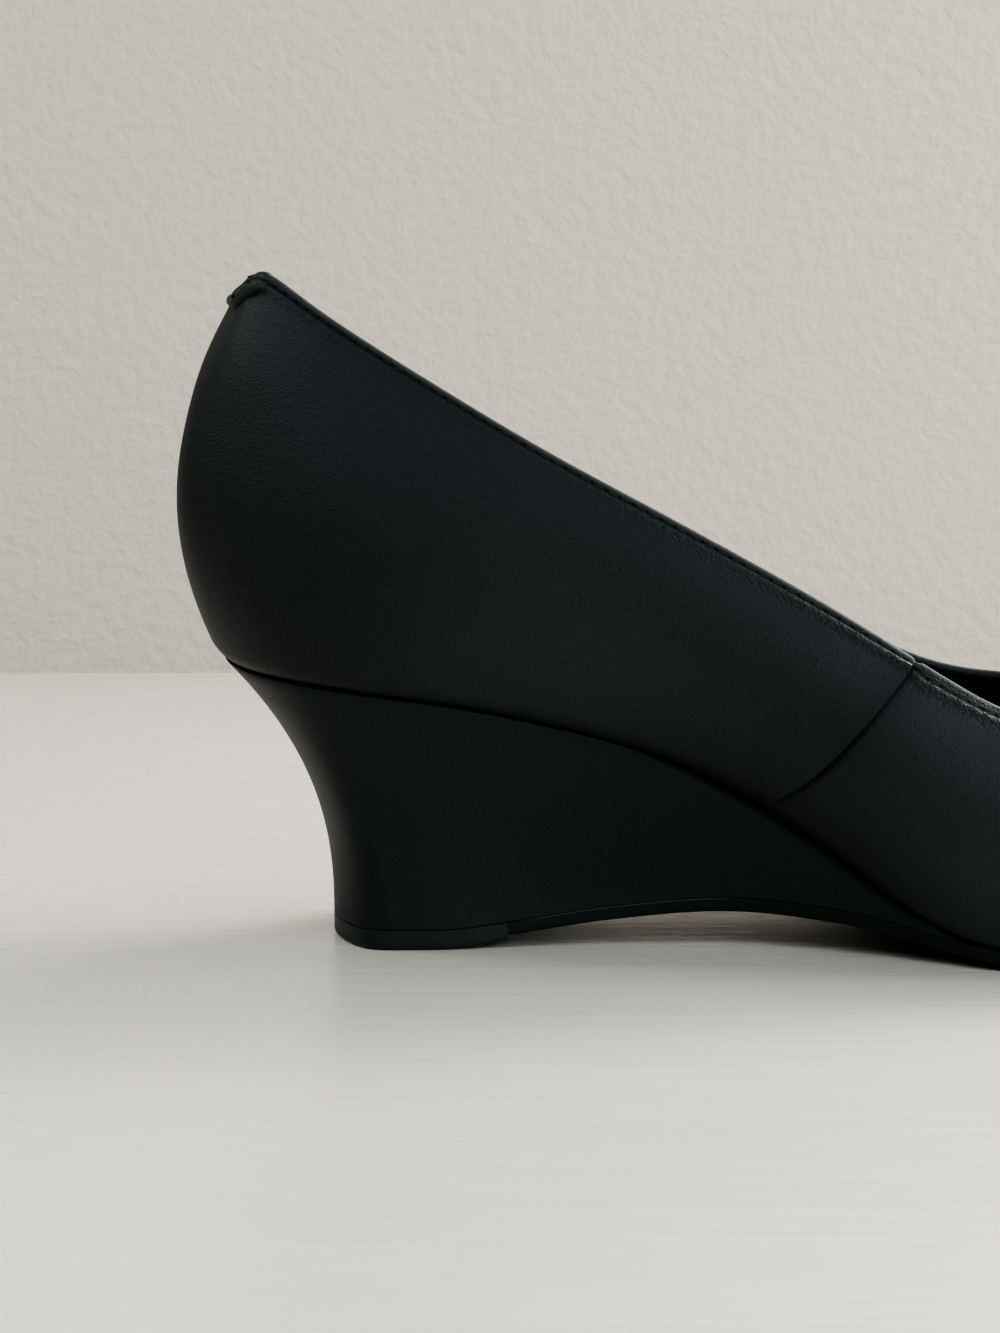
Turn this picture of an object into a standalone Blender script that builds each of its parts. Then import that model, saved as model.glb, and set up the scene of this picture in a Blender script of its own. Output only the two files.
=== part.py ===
"""A woman's closed wedge pump for the left foot, standing empty on its sole.

The toe points to +X, the medial side faces -Y and the floor is Z = 0. The origin is on the floor, in
the middle of the heel tip's flat face. Every piece comes from the same closed loops, which run from
the centre back along the medial side to the toe and home along the lateral side: the feather line,
where the upper turns under the foot, the topline round the opening, and the wedge's lower edge.
"""

import math
from collections import namedtuple

import bmesh
import bpy
import numpy as np

# Driving sizes, in metres.
SHOE_LENGTH = 0.250
BALL_WIDTH = 0.080
HEEL_HEIGHT = 0.0437
BACK_HEIGHT = 0.0545
THROAT_HEIGHT = 0.0418
TOE_SPRING = 0.0065
ARCH_LIFT = 0.0056

WALL_THICKNESS = 0.0018
FEATHER_RADIUS = 0.0024
LASTING_MARGIN = 0.009

OUTSOLE_THICKNESS = 0.0020
OUTSOLE_EDGE = 0.0002
OUTSOLE_BEVEL = 0.0004
TIP_THICKNESS = 0.0031
TIP_LENGTH = 0.0270
TIP_BEVEL = 0.0005
TIP_TOE_LIFT = 0.0006
WEDGE_LENGTH = 0.1100
INSOLE_THICKNESS = 0.0020
INSOLE_EASE = 0.0010

TAB_HALF_WIDTH = 0.0155
TAB_DEPTH = 0.0042
TAB_THICKNESS = 0.0009

CLEARANCE = 0.0003

# How finely the faceted solids are cut.
LOOP_POINTS = 84
WALL_POINTS = 11
ROUNDING_POINTS = 3
LIP_POINTS = 3
WEDGE_LEVELS = 9
TAB_COLUMNS = 19
TAB_ROWS = 4

# Plan of the feather line: x as a share of the shoe's length, half widths of the ball width.
Plan = namedtuple("Plan", "x medial lateral")
FEATHER = [
    Plan(0.024, 0.000, 0.000),  # centre back
    Plan(0.034, 0.140, 0.140),  # heel round
    Plan(0.060, 0.245, 0.245),  # heel corner
    Plan(0.108, 0.322, 0.324),  # heel side
    Plan(0.168, 0.346, 0.354),  # seat
    Plan(0.232, 0.334, 0.362),  # rear waist
    Plan(0.296, 0.310, 0.372),  # waist
    Plan(0.352, 0.304, 0.388),  # arch
    Plan(0.404, 0.334, 0.410),  # shank
    Plan(0.448, 0.384, 0.434),  # rear ball
    Plan(0.488, 0.430, 0.452),  # rear tread
    Plan(0.544, 0.476, 0.472),  # tread
    Plan(0.624, 0.510, 0.482),  # ball
    Plan(0.712, 0.512, 0.452),  # front ball
    Plan(0.812, 0.452, 0.382),  # toes
    Plan(0.908, 0.352, 0.268),  # toe round
    Plan(0.972, 0.222, 0.134),  # tip corner
    Plan(1.000, 0.044, -0.044),  # tip
]

# The topline at the same sections. Heights are shares of the way from the throat up to the back.
Topline = namedtuple("Topline", "x medial lateral medial_height lateral_height")
TOPLINE = [
    Topline(0.0385, 0.000, 0.000, 0.990, 0.990),  # centre back
    Topline(0.0460, 0.082, 0.082, 1.010, 1.010),  # heel round
    Topline(0.0540, 0.131, 0.131, 1.050, 1.050),  # heel corner
    Topline(0.0840, 0.206, 0.208, 0.959, 0.957),  # heel side
    Topline(0.1640, 0.286, 0.294, 0.741, 0.732),  # seat
    Topline(0.2280, 0.320, 0.336, 0.577, 0.560),  # rear waist
    Topline(0.2920, 0.342, 0.368, 0.426, 0.402),  # waist
    Topline(0.3500, 0.358, 0.390, 0.286, 0.256),  # arch
    Topline(0.4020, 0.371, 0.402, 0.158, 0.122),  # shank
    Topline(0.4480, 0.379, 0.405, 0.034, 0.016),  # rear ball
    Topline(0.4880, 0.380, 0.398, -0.060, -0.050),  # rear tread
    Topline(0.5360, 0.364, 0.376, -0.112, -0.076),  # tread
    Topline(0.5900, 0.308, 0.316, -0.106, -0.076),  # ball
    Topline(0.6360, 0.235, 0.236, -0.062, -0.050),  # front ball
    Topline(0.6660, 0.152, 0.148, -0.026, -0.022),  # toes
    Topline(0.6815, 0.090, 0.080, -0.008, -0.007),  # toe round
    Topline(0.6868, 0.036, 0.022, -0.001, -0.001),  # tip corner
    Topline(0.6880, 0.008, -0.008, 0.000, 0.000),  # tip
]

# How the wall swells: pushes outwards as shares of the ball width, and how far up from the feather
# line and down from the topline they act, as shares of the section's height.
Swell = namedtuple("Swell", "low_out low_up high_out high_down")
WALL = [
    Swell(0.128, 0.380, 0.117, 0.340),  # centre back
    Swell(0.117, 0.360, 0.111, 0.335),  # heel round
    Swell(0.086, 0.320, 0.095, 0.330),  # heel corner
    Swell(0.070, 0.325, 0.086, 0.335),  # heel side
    Swell(0.062, 0.330, 0.078, 0.350),  # seat
    Swell(0.068, 0.315, 0.070, 0.355),  # rear waist
    Swell(0.080, 0.285, 0.062, 0.350),  # waist
    Swell(0.092, 0.265, 0.060, 0.335),  # arch
    Swell(0.092, 0.270, 0.064, 0.320),  # shank
    Swell(0.080, 0.300, 0.076, 0.305),  # rear ball
    Swell(0.066, 0.350, 0.094, 0.290),  # rear tread
    Swell(0.054, 0.410, 0.120, 0.250),  # tread
    Swell(0.044, 0.450, 0.160, 0.190),  # ball
    Swell(0.038, 0.450, 0.230, 0.140),  # front ball
    Swell(0.034, 0.420, 0.320, 0.125),  # toes
    Swell(0.028, 0.395, 0.430, 0.150),  # toe round
    Swell(0.022, 0.385, 0.505, 0.200),  # tip corner
    Swell(0.019, 0.380, 0.525, 0.235),  # tip
]

# Plan of the wedge's lower edge at the rear sections, and how hard its side curls in below the
# seat: 1 is straight. Further forward the lower edge is the feather line.
Base = namedtuple("Base", "x medial lateral curl inset")
BASE = [
    Base(0.0950, 0.000, 0.000, 2.40, 0.0011),  # centre back
    Base(0.0985, 0.120, 0.120, 2.34, 0.0011),  # heel round
    Base(0.1120, 0.200, 0.200, 2.10, 0.0007),  # heel corner
    Base(0.1360, 0.234, 0.234, 1.90, 0.0009),  # heel side
    Base(0.1680, 0.228, 0.232, 1.70, 0.0011),  # seat
    Base(0.2200, 0.200, 0.222, 1.55, 0.0013),  # rear waist
    Base(0.2840, 0.192, 0.240, 1.45, 0.0018),  # waist
    Base(0.3440, 0.214, 0.296, 1.35, 0.0022),  # arch
    Base(0.4010, 0.286, 0.370, 1.25, 0.0018),  # shank
    Base(0.4480, 0.364, 0.420, 1.10, 0.0010),  # rear ball
]
REAR_SECTIONS = len(BASE)

# Height of the foot's seat along the shoe: shares of the heel's rise, and of the toe spring.
Seat = namedtuple("Seat", "x medial lateral toe")
SEAT = [
    Seat(0.024, 1.000, 1.000, 0.0),
    Seat(0.034, 0.972, 0.972, 0.0),
    Seat(0.060, 0.940, 0.940, 0.0),
    Seat(0.108, 0.904, 0.902, 0.0),
    Seat(0.168, 0.860, 0.852, 0.0),
    Seat(0.232, 0.782, 0.764, 0.0),
    Seat(0.296, 0.667, 0.638, 0.0),
    Seat(0.352, 0.502, 0.468, 0.0),
    Seat(0.378, 0.404, 0.372, 0.0),
    Seat(0.404, 0.290, 0.266, 0.0),
    Seat(0.428, 0.180, 0.166, 0.0),
    Seat(0.448, 0.104, 0.098, 0.0),
    Seat(0.466, 0.056, 0.054, 0.0),
    Seat(0.488, 0.022, 0.022, 0.0),
    Seat(0.544, 0.000, 0.000, 0.0),
    Seat(0.660, 0.000, 0.000, 0.0),
    Seat(0.760, 0.000, 0.000, 0.14),
    Seat(0.880, 0.000, 0.000, 0.50),
    Seat(1.000, 0.000, 0.000, 1.00),
]

# Height of the wedge's underside: shares of the step on to the heel tip, the arch and the toe spring.
Underside = namedtuple("Underside", "x step arch toe")
UNDERSIDE = [
    Underside(0.094, 1.0, 0.00, 0.0),
    Underside(0.164, 1.0, 0.00, 0.0),
    Underside(0.202, 0.6, 0.22, 0.0),
    Underside(0.260, 0.0, 0.70, 0.0),
    Underside(0.344, 0.0, 1.00, 0.0),
    Underside(0.400, 0.0, 0.86, 0.0),
    Underside(0.448, 0.0, 0.48, 0.0),
    Underside(0.488, 0.0, 0.17, 0.0),
    Underside(0.544, 0.0, 0.00, 0.0),
    Underside(0.660, 0.0, 0.00, 0.0),
    Underside(0.760, 0.0, 0.00, 0.14),
    Underside(0.880, 0.0, 0.00, 0.50),
    Underside(1.000, 0.0, 0.00, 1.00),
]

# Where things sit, worked out from the sizes above.
SOLE_TOP = OUTSOLE_THICKNESS + CLEARANCE
TIP_TOP = TIP_THICKNESS + CLEARANCE
BACK_TOP = HEEL_HEIGHT + BACK_HEIGHT
TIP_BACK = BASE[0].x * SHOE_LENGTH
TIP_FRONT = TIP_BACK + TIP_LENGTH
TIP_FLAT_END = TIP_BACK + TIP_LENGTH * 0.66
ORIGIN_X = (TIP_BACK + TIP_FLAT_END) / 2
WEDGE_FRONT = FEATHER[0].x * SHOE_LENGTH + WEDGE_LENGTH
# The share of the length at which the seat and the underside have the wedge's front edge.
WEDGE_FRONT_ROW = 0.464

# Plain finishes: colour, roughness, metallic.
FINISHES = {
    "upper": ((0.012, 0.013, 0.014), 0.45, 0.0),
    "insole": ((0.020, 0.020, 0.021), 0.60, 0.0),
    "wedge": ((0.012, 0.013, 0.014), 0.42, 0.0),
    "outsole": ((0.010, 0.010, 0.011), 0.55, 0.0),
    "heel_tip": ((0.009, 0.009, 0.010), 0.50, 0.0),
    "heel_tab": ((0.013, 0.013, 0.014), 0.45, 0.0),
}


def steady_curve(xs, ys, at):
    """A smooth curve through the rows that never overshoots them, so level stretches stay level."""
    xs, ys = np.asarray(xs, float), np.asarray(ys, float)
    step = np.diff(xs)
    rise = np.diff(ys) / step
    slope = np.zeros(len(xs))
    slope[0], slope[-1] = rise[0], rise[-1]
    same_way = rise[:-1] * rise[1:] > 0
    before = 2 * step[1:] + step[:-1]
    after = step[1:] + 2 * step[:-1]
    safe = np.where(same_way, rise[:-1], 1), np.where(same_way, rise[1:], 1)
    mean = (before + after) / (before / safe[0] + after / safe[1])
    slope[1:-1] = np.where(same_way, mean, 0)
    at = np.clip(at, xs[0], xs[-1])
    i = np.clip(np.searchsorted(xs, at, side="right") - 1, 0, len(step) - 1)
    t = (at - xs[i]) / step[i]
    keep = (1 + 2 * t) * (1 - t) ** 2
    return (
        keep * ys[i]
        + (1 - keep) * ys[i + 1]
        + t * (1 - t) ** 2 * step[i] * slope[i]
        + t * t * (t - 1) * step[i] * slope[i + 1]
    )


def closed_spline(knots, rows, period, at):
    """The closed cubic spline through the rows, one column for each quantity."""
    count = len(knots)
    step = np.append(np.diff(knots), period - knots[-1] + knots[0])
    rise = (np.roll(rows, -1, axis=0) - rows) / step[:, None]
    matrix = np.zeros((count, count))
    for i in range(count):
        matrix[i, i - 1] += step[i - 1] / 6
        matrix[i, i] += (step[i - 1] + step[i]) / 3
        matrix[i, (i + 1) % count] += step[i] / 6
    bend = np.linalg.solve(matrix, rise - np.roll(rise, 1, axis=0))
    at = np.mod(np.asarray(at, float) - knots[0], period) + knots[0]
    i = np.clip(np.searchsorted(knots, at, side="right") - 1, 0, count - 1)
    j = (i + 1) % count
    b = ((at - knots[i]) / step[i])[:, None]
    a = 1 - b
    h = (step[i] ** 2 / 6)[:, None]
    return a * rows[i] + b * rows[j] + h * ((a**3 - a) * bend[i] + (b**3 - b) * bend[j])


def both_sides(medial, lateral):
    """Rows from the back along the medial side to the tip, then home along the lateral side."""
    return np.array(medial + lateral[-2:0:-1], float)


def plan_rows(table):
    medial = [(r.x * SHOE_LENGTH, -r.medial * BALL_WIDTH) for r in table]
    lateral = [(r.x * SHOE_LENGTH, r.lateral * BALL_WIDTH) for r in table]
    return both_sides(medial, lateral)


def row_share(x):
    """Where x falls in the tables of heights, which stretch with the wedge's length."""
    return np.interp(x, (0, WEDGE_FRONT, SHOE_LENGTH), (0, WEDGE_FRONT_ROW, 1))


def seat_height(x, y):
    """Height of the surface that the upper and the insole are built on."""
    share = row_share(x)
    xs = [r.x for r in SEAT]
    medial = steady_curve(xs, [r.medial for r in SEAT], share)
    lateral = steady_curve(xs, [r.lateral for r in SEAT], share)
    across = y / BALL_WIDTH + 0.5
    rise = medial + (lateral - medial) * across
    toe = steady_curve(xs, [r.toe for r in SEAT], share)
    return SOLE_TOP + rise * (HEEL_HEIGHT - SOLE_TOP) + toe * TOE_SPRING


def underside_height(x):
    """Height of the wedge's underside, and of the feather line in front of the wedge."""
    share = row_share(x)
    xs = [r.x for r in UNDERSIDE]
    step, arch, toe = (
        steady_curve(xs, [getattr(r, name) for r in UNDERSIDE], share)
        for name in ("step", "arch", "toe")
    )
    return SOLE_TOP + step * (TIP_TOP - SOLE_TOP) + arch * ARCH_LIFT + toe * TOE_SPRING


def section_knots():
    """Where the sections lie along the loops, the same for both sides, and the loops' full length."""
    steps = np.zeros(len(FEATHER) - 1)
    for table in (FEATHER, TOPLINE):
        for side in ("medial", "lateral"):
            xs = np.array([r.x * SHOE_LENGTH for r in table])
            ys = np.array([getattr(r, side) * BALL_WIDTH for r in table])
            steps += np.hypot(np.diff(xs), np.diff(ys))
    along = np.append(0, np.cumsum(steps))
    period = 2 * along[-1]
    return np.append(along, period - along[-2:0:-1]), period


KNOTS, PERIOD = section_knots()


def on_loop(rows, at):
    return closed_spline(KNOTS, rows, PERIOD, at)


def outward(rows, at):
    """Unit vectors that point out of a plan loop, in the floor's plane."""
    ahead = on_loop(rows, at + PERIOD * 1e-4) - on_loop(rows, at - PERIOD * 1e-4)
    normal = np.stack([ahead[:, 1], -ahead[:, 0]], axis=1)
    return normal / np.linalg.norm(normal, axis=1)[:, None]


def feather_line(at, inset=0.0):
    """Points of the feather line, moved in along the seat by the inset."""
    rows = plan_rows(FEATHER)
    plan = on_loop(rows, at) - outward(rows, at) * np.reshape(inset, (-1, 1))
    return np.column_stack([plan, seat_height(plan[:, 0], plan[:, 1])])


def topline(at):
    """The outer edge of the opening, half a wall below the rounded lip's crest."""
    plan = on_loop(plan_rows(TOPLINE), at)
    medial = [(r.medial_height,) for r in TOPLINE]
    lateral = [(r.lateral_height,) for r in TOPLINE]
    share = on_loop(both_sides(medial, lateral), at)
    height = THROAT_HEIGHT + share * (BACK_TOP - THROAT_HEIGHT)
    return np.column_stack([plan, height - WALL_THICKNESS / 2])


def base_rows():
    """The wedge's lower edge: its own rows at the rear, the feather line in front."""
    front = FEATHER[REAR_SECTIONS:]
    return plan_rows([Plan(r.x, r.medial, r.lateral) for r in BASE] + front)


def base_line(at, inset=0.0):
    plan = on_loop(base_rows(), at) - outward(base_rows(), at) * inset
    return np.column_stack([plan, underside_height(plan[:, 0])])


def off_seat(points, distance):
    """Points moved off the seat's surface along its normal, up for a positive distance."""
    reach = SHOE_LENGTH * 1e-3
    x, y = points[:, 0], points[:, 1]
    slope = (seat_height(x + reach, y) - seat_height(x - reach, y)) / (2 * reach)
    normal = np.stack([-slope, np.zeros(len(x)), np.ones(len(x))], axis=1)
    return points + distance * normal / np.linalg.norm(normal, axis=1)[:, None]


def wall_sections(at):
    """The upper's outer face: for each place on the loop, points from under the foot to the topline."""
    feather, top = feather_line(at), topline(at)
    rows = both_sides([tuple(r) for r in WALL], [tuple(r) for r in WALL])
    low_out, low_up, high_out, high_down = on_loop(rows, at).T
    height = (top - feather)[:, 2]
    low = feather.copy()
    low[:, :2] += outward(plan_rows(FEATHER), at) * (low_out * BALL_WIDTH)[:, None]
    low[:, 2] += low_up * height
    high = top.copy()
    high[:, :2] += outward(plan_rows(TOPLINE), at) * (high_out * BALL_WIDTH)[:, None]
    high[:, 2] -= high_down * height

    def rising(t):
        return (
            (1 - t) ** 3 * feather
            + 3 * t * (1 - t) ** 2 * low
            + 3 * t * t * (1 - t) * high
            + t**3 * top
        )

    first = FEATHER_RADIUS / np.linalg.norm(3 * (low - feather), axis=1)[:, None]
    flat = feather_line(at, FEATHER_RADIUS)
    rounded = rising(first)
    columns = [feather_line(at, LASTING_MARGIN), flat]
    for t in np.linspace(0, 1, ROUNDING_POINTS + 2)[1:-1]:
        columns.append((1 - t) ** 2 * flat + 2 * t * (1 - t) * feather + t * t * rounded)
    for t in np.linspace(0, 1, WALL_POINTS):
        columns.append(rising(first + (1 - first) * t))
    return np.stack(columns, axis=1)


def face_normals(grid):
    """Outward unit normals of a grid that closes on itself along its first axis."""
    along = np.roll(grid, -1, axis=0) - np.roll(grid, 1, axis=0)
    up = np.gradient(grid, axis=1)
    normal = np.cross(along, up)
    return normal / np.linalg.norm(normal, axis=2)[:, :, None]


def round_lip(outer, inner, up):
    """Points that carry the wall's top edge round from its outer to its inner face."""
    middle, half = (outer + inner) / 2, (outer - inner) / 2
    radius = np.linalg.norm(half, axis=1)[:, None]
    points = []
    for k in range(1, LIP_POINTS + 1):
        angle = math.pi * k / (LIP_POINTS + 1)
        points.append(middle + half * math.cos(angle) + up * radius * math.sin(angle))
    return points


def make_solid(name, points, faces):
    """One named object from points in shoe coordinates, its faces turned outwards."""
    mesh = bpy.data.meshes.new(name)
    placed = np.asarray(points, float) - (ORIGIN_X, 0, 0)
    mesh.from_pydata(placed.tolist(), [], faces)
    work = bmesh.new()
    work.from_mesh(mesh)
    bmesh.ops.triangulate(work, faces=work.faces)
    bmesh.ops.recalc_face_normals(work, faces=work.faces)
    work.to_mesh(mesh)
    work.free()
    mesh.shade_smooth()
    mesh.set_sharp_from_angle(angle=math.radians(40))
    solid = bpy.data.objects.new(name, mesh)
    bpy.context.scene.collection.objects.link(solid)
    solid.data.materials.append(make_finish(name))
    return solid


def make_finish(name):
    colour, roughness, metallic = FINISHES[name]
    finish = bpy.data.materials.new(name)
    finish.use_nodes = True
    shader = finish.node_tree.nodes["Principled BSDF"]
    shader.inputs["Base Color"].default_value = (*colour, 1)
    shader.inputs["Roughness"].default_value = roughness
    shader.inputs["Metallic"].default_value = metallic
    return finish


def skin_faces(rows, columns, rows_close=False, columns_close=False):
    """Quads over a grid of points that are numbered row by row."""
    faces = []
    for r in range(rows if rows_close else rows - 1):
        for c in range(columns if columns_close else columns - 1):
            s, d = (r + 1) % rows, (c + 1) % columns
            faces.append((r * columns + c, r * columns + d, s * columns + d, s * columns + c))
    return faces


def arc_loft(name, levels):
    """A solid through like arcs stacked from bottom to top. Each arc runs down one side of the shoe
    and back along the other, so the caps are strips straight across from side to side."""
    count = len(levels[0])
    points = np.concatenate(levels)
    faces = skin_faces(len(levels), count)
    last = len(levels) - 1
    for level in range(last):
        start, above = level * count, (level + 1) * count
        faces.append((start + count - 1, start, above, above + count - 1))
    for level in (0, last):
        start = level * count
        for k in range(count // 2):
            across = (start + k, start + k + 1, start + count - 2 - k, start + count - 1 - k)
            faces.append(tuple(dict.fromkeys(across)))
    return make_solid(name, points, [f for f in faces if len(f) > 2])


def place_at(rows, x):
    """Where a loop passes a given x on its medial side."""
    at = np.linspace(0, PERIOD / 2, 2001)
    return float(np.interp(x, on_loop(rows, at)[:, 0], at))


def rear_arc(front_x, rows, finer=1):
    """Places along the loop from one side's front round the back to the other's. They are the
    upper's own stations, so that faces cut from the same form stay parallel."""
    reach = place_at(rows, front_x)
    step = PERIOD / LOOP_POINTS / finer
    count = int(reach / step - 0.2)
    inner = np.arange(-count, count + 1) * step
    return np.concatenate([[-reach], inner, [reach]])


def front_arc(rear_x, rows):
    """Places along the loop from the medial side's rear round the toe to the lateral side's."""
    reach = PERIOD / 2 - place_at(rows, rear_x)
    step = PERIOD / LOOP_POINTS
    count = int(reach / step - 0.2)
    inner = np.arange(-count, count + 1) * step
    return PERIOD / 2 + np.concatenate([[-reach], inner, [reach]])


def build_upper():
    """The hollow upper: its outer face, a rounded top edge and a lining one wall inside."""
    at = np.arange(LOOP_POINTS) * PERIOD / LOOP_POINTS
    outer = wall_sections(at)
    inner = outer - face_normals(outer) * WALL_THICKNESS
    up = outer[:, -1] - outer[:, -2]
    up /= np.linalg.norm(up, axis=1)[:, None]
    lip = round_lip(outer[:, -1], inner[:, -1], up)
    ring = np.concatenate([outer, np.stack(lip, axis=1), inner[:, ::-1]], axis=1)
    rows, columns = ring.shape[:2]
    faces = skin_faces(rows, columns, rows_close=True, columns_close=True)
    return make_solid("upper", ring.reshape(-1, 3), faces)


def build_insole():
    """The sock on its board, lying on the upper's turned-in margin."""
    at = np.arange(LOOP_POINTS) * PERIOD / LOOP_POINTS
    at = np.append(at, at[:1] + PERIOD)[: LOOP_POINTS // 2 + 1]
    at = np.concatenate([at, PERIOD - at[-2:0:-1]])
    inset = WALL_THICKNESS + CLEARANCE + INSOLE_EASE
    low = off_seat(feather_line(at, inset), WALL_THICKNESS + CLEARANCE)
    high = off_seat(feather_line(at, inset), WALL_THICKNESS + CLEARANCE + INSOLE_THICKNESS)
    return closed_plate("insole", [low, high])


def closed_plate(name, levels):
    """A solid through closed loops stacked from bottom to top, capped straight across the shoe."""
    count = len(levels[0])
    faces = skin_faces(len(levels), count, columns_close=True)
    for level in (0, len(levels) - 1):
        start = level * count
        for k in range(count // 2):
            medial = (start + k, start + k + 1)
            lateral = (start + (count - k - 1) % count, start + (count - k) % count)
            faces.append(tuple(dict.fromkeys(medial + lateral)))
    return make_solid(name, np.concatenate(levels), [f for f in faces if len(f) > 2])


def curl_and_inset(at):
    """The wedge's side shape round the rear of the shoe."""
    front = [(BASE[-1].curl, BASE[-1].inset)] * (len(FEATHER) - REAR_SECTIONS)
    rows = [(r.curl, r.inset) for r in BASE] + front
    return on_loop(both_sides(rows, rows), at).T


def build_wedge():
    """The covered wedge: its seat inside the feather line, its sides curling in to the base."""
    at = rear_arc(WEDGE_FRONT, base_rows())
    curl, inset = curl_and_inset(at)
    seat = off_seat(feather_line(at, inset), -CLEARANCE)
    base = base_line(at)
    levels = []
    for t in np.linspace(0, 1, WEDGE_LEVELS):
        share = (t ** curl)[:, None]
        plan = base[:, :2] + (seat[:, :2] - base[:, :2]) * share
        levels.append(np.column_stack([plan, base[:, 2] + (seat[:, 2] - base[:, 2]) * t]))
    return arc_loft("wedge", levels)


def build_heel_tip():
    """The rubber tip under the wedge's heel, flat on the floor and eased up at its front."""
    at = rear_arc(TIP_FRONT, base_rows(), finer=2)
    top = base_line(at) - (0, 0, CLEARANCE)
    shoulder = base_line(at)
    past = np.clip((shoulder[:, 0] - TIP_FLAT_END) / (TIP_FRONT - TIP_FLAT_END), 0, 1)
    ground = TIP_TOE_LIFT * past**2
    shoulder[:, 2] = ground + TIP_BEVEL
    sole = base_line(at, TIP_BEVEL)
    sole[:, 2] = ground
    return arc_loft("heel_tip", [sole, shoulder, top])


def build_outsole():
    """The thin sole from the heel tip's front under the arch and the ball to the toe."""
    at = front_arc(TIP_FRONT + CLEARANCE, base_rows())
    top = base_line(at, -OUTSOLE_EDGE) - (0, 0, CLEARANCE)
    edge = top - (0, 0, OUTSOLE_THICKNESS - OUTSOLE_BEVEL)
    sole = base_line(at, OUTSOLE_BEVEL) - (0, 0, SOLE_TOP)
    for level in (top, edge, sole):
        level[[0, -1], 0] = TIP_FRONT + CLEARANCE
    return arc_loft("outsole", [sole, edge, top])


def build_heel_tab():
    """The half-moon tab that binds the topline at the centre back."""
    share = np.linspace(-0.985, 0.985, TAB_COLUMNS)
    reach = np.linspace(0, PERIOD / 8, 400)
    line = topline(reach)
    walked = np.append(0, np.cumsum(np.linalg.norm(np.diff(line, axis=0), axis=1)))
    at = np.sign(share) * np.interp(np.abs(share) * TAB_HALF_WIDTH, walked, reach)
    spread = PERIOD * 1e-4
    wall = np.stack([wall_sections(at + k * spread)[:, -WALL_POINTS:] for k in (-1, 0, 1)])
    across = wall[2] - wall[0]
    wall = wall[1]
    depth = TAB_DEPTH * np.sqrt(1 - share**2) * (1 - 0.6 * (1 - share**2) ** 2)
    rows = []
    for row in np.linspace(0, 1, TAB_ROWS):
        rows.append(down_from_topline(wall, across, depth * (1 - row)))
    base = np.stack([r[0] for r in rows], axis=1)
    normal = np.stack([r[1] for r in rows], axis=1)
    inner = base + normal * CLEARANCE
    outer = base + normal * (CLEARANCE + TAB_THICKNESS)
    return make_slab("heel_tab", inner, outer)


def down_from_topline(wall, across, depth):
    """Points a given depth down the wall from the topline, and the wall's normals there."""
    found, normals = [], []
    for line, side, deep in zip(wall, across, depth):
        walked = np.append(0, np.cumsum(np.linalg.norm(np.diff(line[::-1], axis=0), axis=1)))
        point = np.array([np.interp(deep, walked, line[::-1, k]) for k in range(3)])
        below = np.array([np.interp(deep + TAB_DEPTH, walked, line[::-1, k]) for k in range(3)])
        normal = np.cross(side[-1], point - below)
        found.append(point)
        normals.append(normal / np.linalg.norm(normal))
    return np.array(found), np.array(normals)


def make_slab(name, inner, outer):
    """A solid between two like grids."""
    rows, columns = inner.shape[:2]
    count = rows * columns
    points = np.concatenate([inner.reshape(-1, 3), outer.reshape(-1, 3)])
    faces = skin_faces(rows, columns)
    faces += [tuple(count + k for k in face) for face in faces]
    rim = [k for k in range(columns)]
    rim += [r * columns + columns - 1 for r in range(1, rows)]
    rim += [(rows - 1) * columns + c for c in range(columns - 2, -1, -1)]
    rim += [r * columns for r in range(rows - 2, 0, -1)]
    for a, b in zip(rim, rim[1:] + rim[:1]):
        faces.append((a, b, count + b, count + a))
    return make_solid(name, points, faces)


def main():
    for leftover in list(bpy.data.objects):
        bpy.data.objects.remove(leftover)
    build_upper()
    build_insole()
    build_wedge()
    build_outsole()
    build_heel_tip()
    build_heel_tab()


main()
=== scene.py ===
"""A left wedge pump in black leather, dressed for the photograph.

The upper, the wedge, the sole, the tip, the sock and the tab are lofted finely from nearly the same
lines as the solids they stand for. The stitch channel, the side seams and the soft hollows in the
leather are worked into the upper's wall. Sizes are in metres unless a name or a comment says mm.
"""

import math
from collections import namedtuple

import bmesh
import bpy
import numpy as np
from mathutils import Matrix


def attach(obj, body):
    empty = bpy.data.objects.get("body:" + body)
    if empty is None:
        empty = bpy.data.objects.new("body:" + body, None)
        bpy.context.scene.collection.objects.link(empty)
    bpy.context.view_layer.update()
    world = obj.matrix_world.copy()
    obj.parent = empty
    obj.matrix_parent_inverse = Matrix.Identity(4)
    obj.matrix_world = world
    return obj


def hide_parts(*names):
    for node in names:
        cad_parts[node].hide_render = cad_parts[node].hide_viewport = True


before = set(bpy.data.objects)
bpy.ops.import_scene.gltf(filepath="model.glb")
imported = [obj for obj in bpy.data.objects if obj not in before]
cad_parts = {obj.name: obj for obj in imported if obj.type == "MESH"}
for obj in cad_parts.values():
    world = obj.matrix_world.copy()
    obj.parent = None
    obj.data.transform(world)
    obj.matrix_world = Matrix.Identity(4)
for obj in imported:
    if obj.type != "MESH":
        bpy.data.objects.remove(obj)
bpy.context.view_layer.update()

# Driving sizes, the same as the solids have but for the tip's lift at its front.
SHOE_LENGTH = 0.250
BALL_WIDTH = 0.080
HEEL_HEIGHT = 0.0437
BACK_HEIGHT = 0.0545
THROAT_HEIGHT = 0.0418
TOE_SPRING = 0.0065
ARCH_LIFT = 0.0056
WALL_THICKNESS = 0.0018
FEATHER_RADIUS = 0.0024
LASTING_MARGIN = 0.009
OUTSOLE_THICKNESS = 0.0020
TIP_THICKNESS = 0.0031
TIP_LENGTH = 0.0270
TIP_TOE_LIFT = 0.0011
WEDGE_LENGTH = 0.1100
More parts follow.
